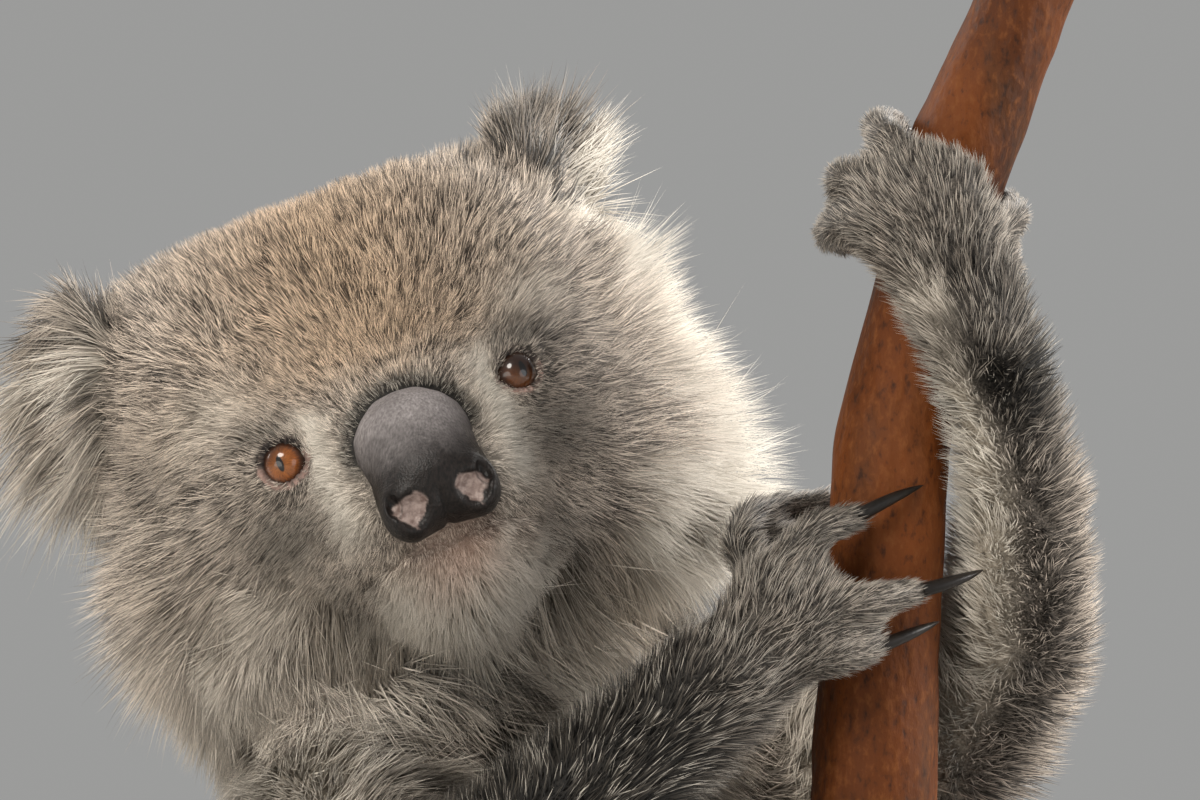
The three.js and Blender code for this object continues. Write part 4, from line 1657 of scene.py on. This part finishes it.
def growth(points):  # how much hair grows at a place, and how long it is against its neighbours
    amount, extent = np.ones((2, len(points)))
    distances = [("nose", noseShape.at(points) / mm), ("bark", branchField.at(points) / mm)]
    for side in sides:
        open, _, _, ball = lidsAt(points, side)
        distances.append(("lid", np.where(ball < 25 * mm, open, far)))
        base, outward, upward, _ = earFrames[side]
        notch = base - outward * earNotch["in"] + upward * ear["up"] * earNotch["up"]
        near = ease(*earNotch["near"], np.linalg.norm(points - notch, axis=1))
        extent = extent * (1 + earNotch["longer"] * near)
    for name, distance in distances:
        rim = rims[name]
        amount = amount * ease(*rim["grows"], distance)
        extent = extent * mix(rim["short"], 1, ease(*rim["long"], distance))
    x, y, z = toHead(points).T
    for place, more in longer:
        extent = extent * (1 + more * spot(x, z, place))
    extent = extent * (1 + longJaw[1] * spot(np.abs(x), z, longJaw[0]))
    return amount, extent * (1 - shortLip[1] * spot(x, z, shortLip[0]) * ease(-40, -60, y))


def besideEyes(points, lie):  # the hair parts round the eyes
    for centre in eyePlaces.values():
        q = points - centre
        near = ease(17 * mm, 8 * mm, np.linalg.norm(q, axis=1))
        lie = lie + unit(q) * column(near * 1.1)
    return lie


class Roots:  # where the tufts of one coat piece grow, and how
    def __init__(self, name, stem, skin, chosen, count, rng):
        crowding = np.maximum(skin.over(skin.depth), coatSpread["least"]) ** -coatSpread["power"]
        pick, self.share = scattered(rng, (skin.area * crowding * skin.grown)[chosen], count)
        self.pick = chosen[pick]
        self.skin = skin
        self.place, self.normal = self.read(skin.points), unit(self.read(skin.normals))
        if stem == "coat_ear":
            side = name.rsplit("_", 1)[1]
            lie, self.lift, self.length = earLie(self.place, self.normal, side)
            self.marks = earMarks(self.place, self.normal, side, rng)
            self.height = self.length * coatSpread["earDepth"]
        else:
            self.marks = markings(self.place, self.normal, self.read(skin.share))
            lie, self.lift = self.read(skin.lie), self.read(skin.lift)
            self.height = self.read(skin.depth) * mm
            self.length = self.height / np.sin(np.radians(self.lift))
        if stem == "coat_face":
            lie = besideEyes(self.place, lie)
        self.lie = unit(lie - self.normal * column(rowDot(lie, self.normal)))

    def read(self, values):  # the skin's values at the roots
        return np.einsum("ik,ik...->i...", self.share, values[self.skin.triangles[self.pick]])

    def spots(self, flat):  # the roots' places on the flat map
        return np.einsum("ik,ikc->ic", self.share, flat[self.skin.loops[self.pick]])


def waysOf(roots, stem, rng):  # the way each tuft points, and its length
    count, normal = len(roots.place), roots.normal
    kind = "head" if stem in headPieces else "arm" if stem == "coat_arm" else "other"
    fine = coatSpread["fineSway"]["head" if kind == "head" else "other"]
    extent = growth(roots.place)[1]
    height = roots.height * np.maximum(extent, 1)
    stray = rng.random(count) < coatSpread["rough"][kind]
    sway = broadSway.at(roots.place) * coatSpread["broadSway"] + fineSway.at(roots.place) * fine
    amount = np.where(stray, coatSpread["stray"], coatSpread["steady"])
    sway = sway + rng.normal(size=(count, 3)) * column(amount)
    lift = column(np.radians(roots.lift))
    way = unit(roots.lie * np.cos(lift) + normal * np.sin(lift) + sway)
    way = unit(way + normal * column(np.maximum(coatSpread["leastRise"] - rowDot(way, normal), 0)))
    low, high, strength = coatSpread["lengths"]
    uneven = lengthSway.at(roots.place)[:, 0] * coatSpread["lengthSway"]
    uneven = uneven + np.clip(rng.normal(size=count), low, high) * strength
    length = roots.length * extent * np.exp(uneven) * np.where(stray, coatSpread["strayLength"], 1)
    most = height * coatSpread["mostDepth"] / np.maximum(rowDot(way, normal), 0.2)
    return way, np.minimum(length, most)


def tintOf(roots, wide, wispTint, rng):  # how pale each tuft's outer part is
    count = len(roots.place)
    pale = rng.random(count) < tints["pale"]
    tint = np.where(pale, rng.uniform(*tints["paleTint"], count), rng.uniform(*tints["darkTint"], count))
    common, strength, widths = tints["broad"]
    tint = mix(tint, common, strength * ease(*widths, wide))
    tint = np.clip(tint + clumps.at(roots.place)[:, 0] * tints["clumps"], *tints["range"])
    tint = mix(tint, np.maximum(tint, tints["cream"]), roots.marks["cream"])
    return tint * (1 + tints["wisps"] * wispTint)


def growCoat(name, stem, skin, region, finish):
    count, form, wide, slot, covered = coatPieces[stem]
    rng = np.random.default_rng(sum(map(ord, name)))
    chosen = np.flatnonzero(region == name)
    flat = unwrap(skin, chosen)
    roots = Roots(name, stem, skin, chosen, count, rng)
    way, length = waysOf(roots, stem, rng)
    way, length, wispTint = gathered(roots.place, way, length, *wisps[stem], rng)
    bend = (roots.lie - roots.normal * tuft["inwards"]) * column(length * tuft["curl"])
    bend = bend + rng.normal(size=(count, 3)) * column(length * tuft["scatter"])
    bend[:, 2] -= length * np.clip(length / tuft["droopLength"], 0, 1) * tuft["droop"]
    girth = wide * mm * rng.uniform(*tuft["girth"], count) * (length / np.median(length)) ** 0.35
    bend = bend * (form == "lock")
    hair = tuftMesh(roots.place, roots.normal, way, length * tuft["length"], girth, bend, form)
    points, shades, triangles, along = hair
    marks = dict(roots.marks)
    marks["tint"] = tintOf(roots, wide, wispTint, rng)
    marks["ticked"] = (rng.random(count) < ticking.get(stem, fewTicks)) * rng.uniform(0.3, 1, count)
    corners = np.array(patchRows[form]) * tuft["patch"]
    masks = {key: np.repeat(values, len(corners)) for key, values in marks.items()}
    piece = makeMesh(name, points, triangles, masks | {"along": along})
    layer = piece.data.uv_layers.new(name="OFBake", do_init=False)
    places = (roots.spots(flat)[:, None] + corners).reshape(-1, 2)
    layer.data.foreach_set("uv", places[triangles.ravel()].astype(np.float32).ravel())
    piece.data.normals_split_custom_set_from_vertices(shades.astype(np.float32))
    addPiece(piece, finish, slot, *coveredNodes(name, covered))
    print(" ", name, count, "tufts", round(float(np.median(length)) / mm, 1), "mm")


def coveredNodes(name, stems):  # the nodes that a coat piece stands for, on its own side only
    side = name.rsplit("_", 1)[1]
    found = [n for n in nodes if n.startswith(tuple(stems))]
    if side in sides and stems != ["head"]:
        return [n for n in found if side in n]
    return found


def growAll(skin):
    region = regionsOf(skin)
    finish = coatFinish()
    for stem in coatPieces:
        for name in sorted(set(region)):
            if name in (stem, stem + "_left", stem + "_right"):
                growCoat(name, stem, skin, region, finish)


def finishSkin(skin):
    mesh = skin.piece.data
    addMasks(mesh, markings(skin.points, skin.normals, skin.share) | lidMarks(skin.points))
    mesh.uv_layers.remove(mesh.uv_layers["unwrap"])
    addPiece(skin.piece, hideFinish(), "grey_coat", *fleshNodes, "ear_left", "ear_right")


def countTriangles():
    pieces = [o for o in bpy.data.objects if o.type == "MESH" and o.name not in nodes]
    return sum(len(face.vertices) - 2 for piece in pieces for face in piece.data.polygons)


# everything in turn

print("camera, light and floor")
addCamera()
for name, settings in studio["lights"].items():
    addLight(name, *settings)
addWorld()
addFloor()

print("nose, eyes, claws, branch and stand")
noseShape = noseField()
addNose(noseShape)
for side in sides:
    addEye(side)
addClaws()
branchField = addBranch()
addStand()

print("skin")
coatMap = CoatMap()
skin = Skin(makeSkin(skinField(bodyField(), coatMap)), coatMap)

print("coat")
growAll(skin)
finishSkin(skin)

print("triangles", countTriangles())
